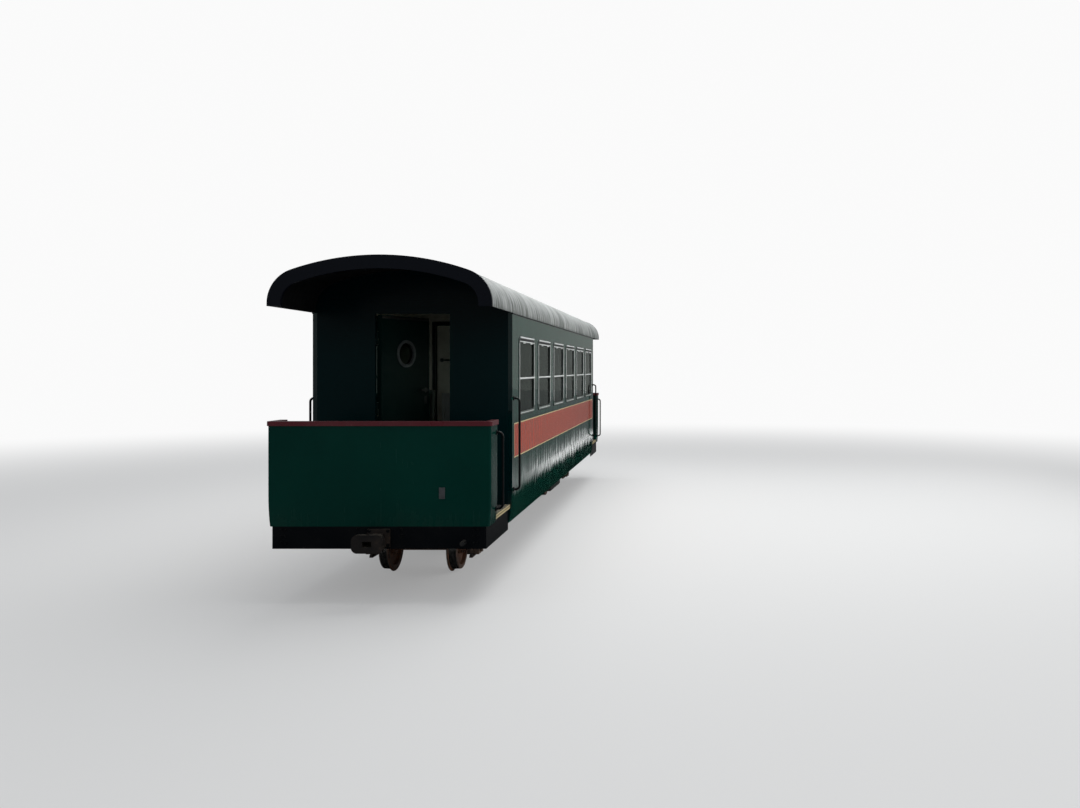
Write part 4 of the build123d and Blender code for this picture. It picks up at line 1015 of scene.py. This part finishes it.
trim = pads["trim"]
seatLow = pads["seatTop"] + pads["lift"]
seatHigh = pads["seatTop"] + pads["seatThick"] - trim
seatRear = pads["seatDepth"] - trim
seatCorners = ((trim, seatLow), (seatRear, seatLow), (seatRear, seatHigh), (trim, seatHigh))
backLow = pads["seatTop"] + pads["backGap"] + trim
backHigh = pads["seatTop"] + pads["backRise"] - pads["topGap"] - trim
backCorners = (
    (backX(backLow) - pads["lift"], backLow), (backX(backHigh) - pads["lift"], backHigh),
    (backX(backHigh) - pads["backThick"] + trim, backHigh),
    (backX(backLow) - pads["backThick"] + trim, backLow),
)
banks = (("left", 0.47), ("right", 0.85))
for bank, width in banks:
    padWidth = width - pads["sideGap"] - 2 * trim
    seatPad = padMesh(f"seatPad{bank}", seatCorners, padWidth)
    backPad = padMesh(f"backPad{bank}", backCorners, padWidth)
    low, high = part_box(f"seat_cushions_{bank}")
    middleY = (low[1] + high[1]) / 2
    bm = bmesh.new()
    for bay in pads["bays"]:
        for turn in (0, 1):
            start = bay + pads["backOut"] - pads["depth"]
            matrix = Matrix.Translation((2 * bay - start if turn else start, middleY, 0))
            matrix = matrix @ Matrix.Rotation(math.pi * turn, 4, "Z")
            for mesh in (seatPad, backPad):
                before = len(bm.verts)
                bm.from_mesh(mesh)
                bm.verts.ensure_lookup_table()
                bmesh.ops.transform(bm, matrix=matrix, verts=bm.verts[before:])
    name = f"seatPads{bank.capitalize()}"
    piece = addPiece(name, meshOf(name, bm), moquette, "coach")
    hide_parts(f"seat_cushions_{bank}")
print("seat pads finished")


# End doors: screws round the porthole rings and on the hinge straps, lock plates, kick strips
# along the top and foot, and a guard strip on the hinge side, cut back round each hinge

doorBits = {
    "ringScrews": 8, "ringRadius": 0.125, "ringStand": 0.008, "lockHeight": 1.70,
    "lockInset": 0.058, "lockHalf": 0.02, "lockReach": (-0.05, 0.03), "keyhole": 0.009,
    "hinges": (0.937, 1.6195, 2.302), "strapScrews": (0.33, 0.30, 0.27), "strapRise": 0.0305,
    "stripInset": (0.01, 0.02, 0.012), "guardY": (0.318, 0.35), "guardDepth": 0.02,
    "guardCut": (-0.07, 0.065), "guardEnd": 0.01, "strapStand": 0.004, "thick": 0.003,
    "keyholeDrop": 0.015,
}

for end in ends:
    matrix = doorTurn[end]
    rotation = matrix.to_3x3()
    suffix, body = end.capitalize(), f"{end}_door"
    faces = ((door["outer"], -1), (door["inner"], 1))
    places = []
    for faceX, out in faces:
        for step in range(doorBits["ringScrews"]):
            turn = 360 * (step + 0.5) / doorBits["ringScrews"]
            across, up = onCircle(doorBits["ringRadius"], turn)
            point = Vector((faceX + out * doorBits["ringStand"], across, door["porthole"] + up))
            places.append((matrix @ point, rotation @ Vector((out, 0, 0))))
    setFasteners(f"ringScrews{suffix}", "screw", places, alloy["ringAlloy"], body)
    places = []
    for hinge in doorBits["hinges"]:
        for y in doorBits["strapScrews"]:
            x = door["inner"] + doorBits["strapStand"]
            point = Vector((x, y, hinge + doorBits["strapRise"]))
            places.append((matrix @ point, rotation @ Vector((1, 0, 0))))
    setFasteners(f"strapScrews{suffix}", "screw", places, painted["doorPaint"], body)
    plates, guard = bmesh.new(), bmesh.new()
    lockY, lockZ = doorBits["lockInset"] - door["width"] / 2, doorBits["lockHeight"]
    low, high = doorBits["lockReach"]
    thick = doorBits["thick"]
    for faceX, out in faces:
        front = faceX + out * thick
        addBox(plates, (faceX, lockY - doorBits["lockHalf"], lockZ + low),
               (front, lockY + doorBits["lockHalf"], lockZ + high), 0.0012)
        hole = (front, lockY, lockZ - doorBits["keyholeDrop"])
        addDisc(plates, hole, (out, 0, 0), doorBits["keyhole"], thick, 18, 0.001)
    inset, rise, half = doorBits["stripInset"]
    for z in (door["low"] + rise, door["high"] - rise):
        addBox(plates, (door["outer"] - thick, -door["width"] / 2 + inset, z - half),
               (door["outer"], door["width"] / 2 - inset, z + half), 0.001)
    cuts = [hinge + edge for hinge in doorBits["hinges"] for edge in doorBits["guardCut"]]
    levels = [door["low"] + doorBits["guardEnd"], *cuts, door["high"] - doorBits["guardEnd"]]
    near, far = doorBits["guardY"]
    face = door["inner"] + doorBits["guardDepth"]
    for low, high in zip(levels[::2], levels[1::2]):
        addBox(guard, (door["inner"], near, low), (face, far, high), 0.002)
    for bm in (plates, guard):
        bmesh.ops.transform(bm, matrix=matrix, verts=bm.verts)
    addShape(f"guardStrips{suffix}", guard, painted["doorPaint"], body)
    addShape(f"lockPlates{suffix}", plates, painted["blackHandle"], body)
print("doors finished")


# Headstocks: bolts round the coupler base and at the sole bars, rivets along the lower flange

boltGroups = (  # how far out of the headstock, places across, heights
    (0.02, (-0.08, 0.08), (0.51, 0.63)),
    (0.0, (-0.835, -0.8, 0.8, 0.835), (0.525, 0.58, 0.635)),
    (0.0, (-0.19, 0.19), (0.59, 0.64)),
)
rivetRow = {
    "count": 12, "first": -0.77, "step": 0.14, "height": 0.494,
    "clear": ((0.0, 0.12), (-0.72, 0.05)),  # round the coupler and round the brake pipe
}

places, rivets = [], []
for end in (-1, 1):
    x = end * coach["bodyEnd"]
    for out, across, heights in boltGroups:
        places += [((x + end * out, y, z), (end, 0, 0)) for y in across for z in heights]
    for step in range(rivetRow["count"]):
        y = rivetRow["first"] + rivetRow["step"] * step
        if all(abs(y - middle) > reach for middle, reach in rivetRow["clear"]):
            rivets.append(((x, y, rivetRow["height"]), (end, 0, 0)))
setFasteners("headstockBolts", "hexBolt", places, painted["underPaint"], "coach")
setFasteners("headstockRivets", "rivet", rivets, painted["underPaint"], "coach")
print("headstocks finished")


# Bogies: cover bolts, horn guide bolts, shackle pins, spring clips and oil plugs

bogie = {
    "plateY": 0.5, "coverY": 0.574, "boxY": 0.558, "springY": 0.534, "leafWidth": 0.06,
    "shackle": 0.212, "pinHeights": (0.414, 0.372), "pinStand": 0.02, "springBase": 0.341,
    "springRadius": 0.9, "clips": (-0.105, 0.105), "clipHalf": 0.009, "clipRise": (0.012, 0.049),
    "coverCircle": 0.04, "cap": (0.024, 0.006), "plug": (0.045, 0.193, 0.013, 0.014),
    "hornBolts": (0.098, (0.19, 0.25, 0.31, 0.40)), "centreBolt": 0.026,
    "transomBolts": (0.2, (0.33, 0.37, 0.41)), "innerBolts": (0.07, 0.435), "clipThick": 0.003,
}

for end, middle in (("front", -coach["pivot"]), ("rear", coach["pivot"])):
    hexes, pins, smalls = [], [], []
    bm = bmesh.new()
    for axle, side in fourWays:
        x, out = middle + axle * coach["wheelbase"] / 2, (0, side, 0)
        axleZ, coverY = coach["axleHeight"], side * bogie["coverY"]
        for turn in (45, 135, 225, 315):
            across, up = onCircle(bogie["coverCircle"], turn)
            smalls.append(((x + across, coverY, axleZ + up), out))
        addDisc(bm, (x, coverY, axleZ), out, *bogie["cap"], 28, 0.002)
        plugX, plugZ, radius, depth = bogie["plug"]
        addDisc(bm, (x + plugX, side * bogie["boxY"], plugZ), out, radius, depth, 6, 0.001)
        hornX, hornHeights = bogie["hornBolts"]
        for reach in (-1, 1):
            for z in hornHeights:
                hexes.append(((x + reach * hornX, side * bogie["plateY"], z), out))
            for z in bogie["pinHeights"]:
                y = side * (bogie["springY"] + bogie["pinStand"])
                pins.append(((x + reach * bogie["shackle"], y, z), out))
        front = side * (bogie["springY"] + bogie["leafWidth"] / 2)
        back = front - side * (bogie["leafWidth"] + bogie["clipThick"])
        smalls.append(((x, front, bogie["springBase"] + bogie["centreBolt"]), out))
        low, high = bogie["clipRise"]
        clipFront = front + side * bogie["clipThick"]
        for reach in bogie["clips"]:
            sweep = math.sqrt(bogie["springRadius"] ** 2 - reach ** 2)
            foot = bogie["springBase"] + bogie["springRadius"] - sweep
            addBox(bm, (x + reach - bogie["clipHalf"], back, foot + low),
                   (x + reach + bogie["clipHalf"], clipFront, foot + high), 0.0015)
    transomX, transomHeights = bogie["transomBolts"]
    innerX, innerZ = bogie["innerBolts"]
    for transom, side in fourWays:
        y, out = side * bogie["plateY"], (0, side, 0)
        for z in transomHeights:
            hexes.append(((middle + transom * transomX, y, z), out))
        hexes.append(((middle + transom * innerX, y, innerZ), out))
    suffix, body = end.capitalize(), f"{end}_bogie"
    setFasteners(f"bogieBolts{suffix}", "hexBolt", hexes, runningGear, body)
    setFasteners(f"coverBolts{suffix}", "smallHex", smalls, runningGear, body)
    setFasteners(f"shacklePins{suffix}", "pinHead", pins, runningGear, body)
    addShape(f"boxFittings{suffix}", bm, runningGear, body)
print("bogies finished")


# Under the floor: bolts round the cylinder's flanges, louvres, lid and hasps on the battery box

underfloor = {
    "cylinder": (-1.0, 0.3), "boltCircle": 0.199, "boltCount": 16, "flanges": (0.546, 0.29),
    "boxSides": (-0.68, -0.28), "lid": 0.482, "lidEnds": (0.552, 1.448), "louvres": 7,
    "louvreDrop": 0.142, "louvreStep": 0.02, "louvreEnds": ((0.72, 0.92), (1.08, 1.28)),
    "hasps": (0.68, 1.0, 1.32), "haspHalf": 0.018, "haspReach": (-0.017, 0.023),
    "louvre": (0.002, 0.008, 0.006), "lip": (0.007, 0.012), "haspOut": 0.012, "sink": 0.001,
}

centreX, centreY = underfloor["cylinder"]
places = []
for step in range(underfloor["boltCount"]):
    across, along = onCircle(underfloor["boltCircle"], 360 * step / underfloor["boltCount"])
    for z, up in zip(underfloor["flanges"], (1, -1)):
        places.append(((centreX + across, centreY + along, z), (0, 0, up)))
setFasteners("cylinderBolts", "smallHex", places, painted["boxPaint"], "coach")

bm = bmesh.new()
for side, faceY in zip((-1, 1), underfloor["boxSides"]):
    lid, half = underfloor["lid"], underfloor["haspHalf"]
    sink, out, tall = underfloor["louvre"]
    near, far = faceY - side * sink, faceY + side * out
    for step in range(underfloor["louvres"]):
        z = lid - underfloor["louvreDrop"] + underfloor["louvreStep"] * step
        for left, right in underfloor["louvreEnds"]:
            addBox(bm, (left, near, z), (right, far, z + tall), 0.001)
    left, right = underfloor["lidEnds"]
    out, tall = underfloor["lip"]
    near = faceY - side * underfloor["sink"]
    addBox(bm, (left, near, lid), (right, faceY + side * out, lid + tall), 0.002)
    low, high = underfloor["haspReach"]
    for x in underfloor["hasps"]:
        addBox(bm, (x - half, near, lid + low),
               (x + half, faceY + side * underfloor["haspOut"], lid + high), 0.002)
addShape("batteryFittings", bm, painted["boxPaint"], "coach")
print("underfloor finished")


# Floor, lights and the camera at the photograph's place

studio = {
    "white": (1.0, 1.0, 1.0, 1.0), "black": (0.0, 0.0, 0.0, 1.0), "backdrop": 0.96,
    "ambient": (0.9, 0.94, 1.0, 1.0), "ambientStrength": 0.4, "floorTone": (0.66, 0.66, 0.65, 1.0),
    "floorReach": 70, "fade": (6.0, 22.0), "lift": 0.3, "belt": (0.19, 0.2, 0.19, 1.0),
    "beltHeight": (0.1, 0.3), "glossShare": 0.06, "shadow": (0.004, 0.004, 0.004, 1.0),
    "verge": (2.75, 6.0), "strip": (1.95, 2.08, 2.45), "stripStart": (2.6, 8.5),
    "stripEnd": 18.0, "stripPower": 1.7,
}
softboxes = (  # name, place, target, width, depth, power
    ("topSoftbox", (0.5, -1.5, 8.5), (0, 0, 1.5), 13.0, 7.0, 800.0),
    ("sideSoftbox", (1.0, -9.0, 4.5), (0.5, 0, 1.3), 10.0, 4.0, 220.0),
    ("frontSoftbox", (-11.0, -7.0, 5.0), (-3.0, 0, 1.4), 5.0, 4.0, 60.0),
)


def backdropShare(finish):
    # How much of the pale backdrop a ray sees: all by camera and through glass, part in gloss
    camera, gloss, through = finish.rays()
    seen = camera.join("MAXIMUM", camera, gloss * studio["glossShare"])
    return camera.join("MAXIMUM", seen, through)


# In gloss the floor is darker, black close to the coach, and has a pale strip along it, which
# gives the bright line low on the side

reach = studio["floorReach"]
floorMesh = bpy.data.meshes.new("studioFloor")
corners = [(x * reach, y * reach, 0) for x, y in ((-1, -1), (1, -1), (1, 1), (-1, 1))]
floorMesh.from_pydata(corners, [], [(0, 1, 2, 3)])
studioFloor = bpy.data.objects.new("studioFloor", floorMesh)
scene.collection.objects.link(studioFloor)
floor = Finish("studioFloorPale")
x, y, z = floor.axes()
mirrored = floor.rays()[1]
distance = (x * x + y * y) ** 0.5
far = floor.ease(distance, *studio["fade"]) * (1 - studio["lift"]) + studio["lift"]
stripLow, stripFull, stripHigh = studio["strip"]
near = 1 - floor.ease(abs(y), stripLow - 0.05, stripLow)
verge = floor.between(abs(y), *studio["verge"], 0.5)
darker = mirrored * (near * 0.38 + verge * 0.18 + 0.62)
strip = floor.ease(abs(y), stripLow - 0.02, stripLow + 0.03)
strip = strip * (1 - floor.ease(abs(y), stripFull, stripHigh)) * mirrored
strip = strip * floor.ease(x, *studio["stripStart"]) * (x < studio["stripEnd"])
ground = floor.node("ShaderNodeBsdfPrincipled", {}, {
    "Base Color": floor.mix(darker, studio["floorTone"], studio["shadow"]),
    "Roughness": 0.9, "Specular IOR Level": 0.0, "Emission Strength": studio["stripPower"],
    "Emission Color": floor.mix(strip, studio["black"], studio["white"]),
})
glow = {"Color": studio["white"], "Strength": studio["backdrop"]}
glow = floor.node("ShaderNodeEmission", {}, glow)
share = far * backdropShare(floor) * (1 - mirrored * near)
floor.close(floor.node("ShaderNodeMixShader", {}, {0: share, 1: ground, 2: glow}))
floorMesh.materials.append(floor.owner)

# The sky is the backdrop by camera, and in gloss a dimmer belt stands round the horizon

scene.world = bpy.data.worlds.new("studioWorld")
sky = Finish(scene.world)


def addSky(colour, strength):
    return sky.node("ShaderNodeBackground", {}, {0: colour, 1: strength})


height = abs(sky.axes(sky.node("ShaderNodeTexCoord", {}, {}, "Generated"))[2])
beltShare = (1 - sky.ease(height, *studio["beltHeight"])) * sky.rays()[1]
ambient, belt = addSky(studio["ambient"], studio["ambientStrength"]), addSky(studio["belt"], 1.0)
around = sky.node("ShaderNodeMixShader", {}, {0: beltShare, 1: ambient, 2: belt})
backdrop = addSky(studio["white"], studio["backdrop"])
mixed = sky.node("ShaderNodeMixShader", {}, {0: backdropShare(sky), 1: around, 2: backdrop})
sky.close(mixed, "ShaderNodeOutputWorld")

for name, place, aim, width, depth, power in softboxes:
    light = bpy.data.lights.new(name, "AREA")
    light.shape = "RECTANGLE"
    light.size, light.size_y = width, depth
    light.energy = power
    lampObject = bpy.data.objects.new(name, light)
    scene.collection.objects.link(lampObject)
    lampObject.location = place
    lampObject.rotation_euler = (Vector(aim) - Vector(place)).to_track_quat("-Z", "Y").to_euler()

view = {
    "place": (-12.13, -2.643, 2.01), "lens": 30.0, "sensor": 36.0, "shift": (-0.139, -0.033),
    "reach": 300.0,
}
camera = bpy.data.cameras.new("photoCamera")
camera.lens = view["lens"]
camera.sensor_width = view["sensor"]
camera.sensor_fit = "HORIZONTAL"
camera.shift_x, camera.shift_y = view["shift"]
camera.clip_end = view["reach"]
cameraObject = bpy.data.objects.new("photoCamera", camera)
scene.collection.objects.link(cameraObject)
cameraObject.location = view["place"]
cameraObject.rotation_euler = (math.radians(90), 0, math.radians(-90))
scene.camera = cameraObject
scene.view_settings.view_transform = "Standard"
print("stage, lights and camera set")
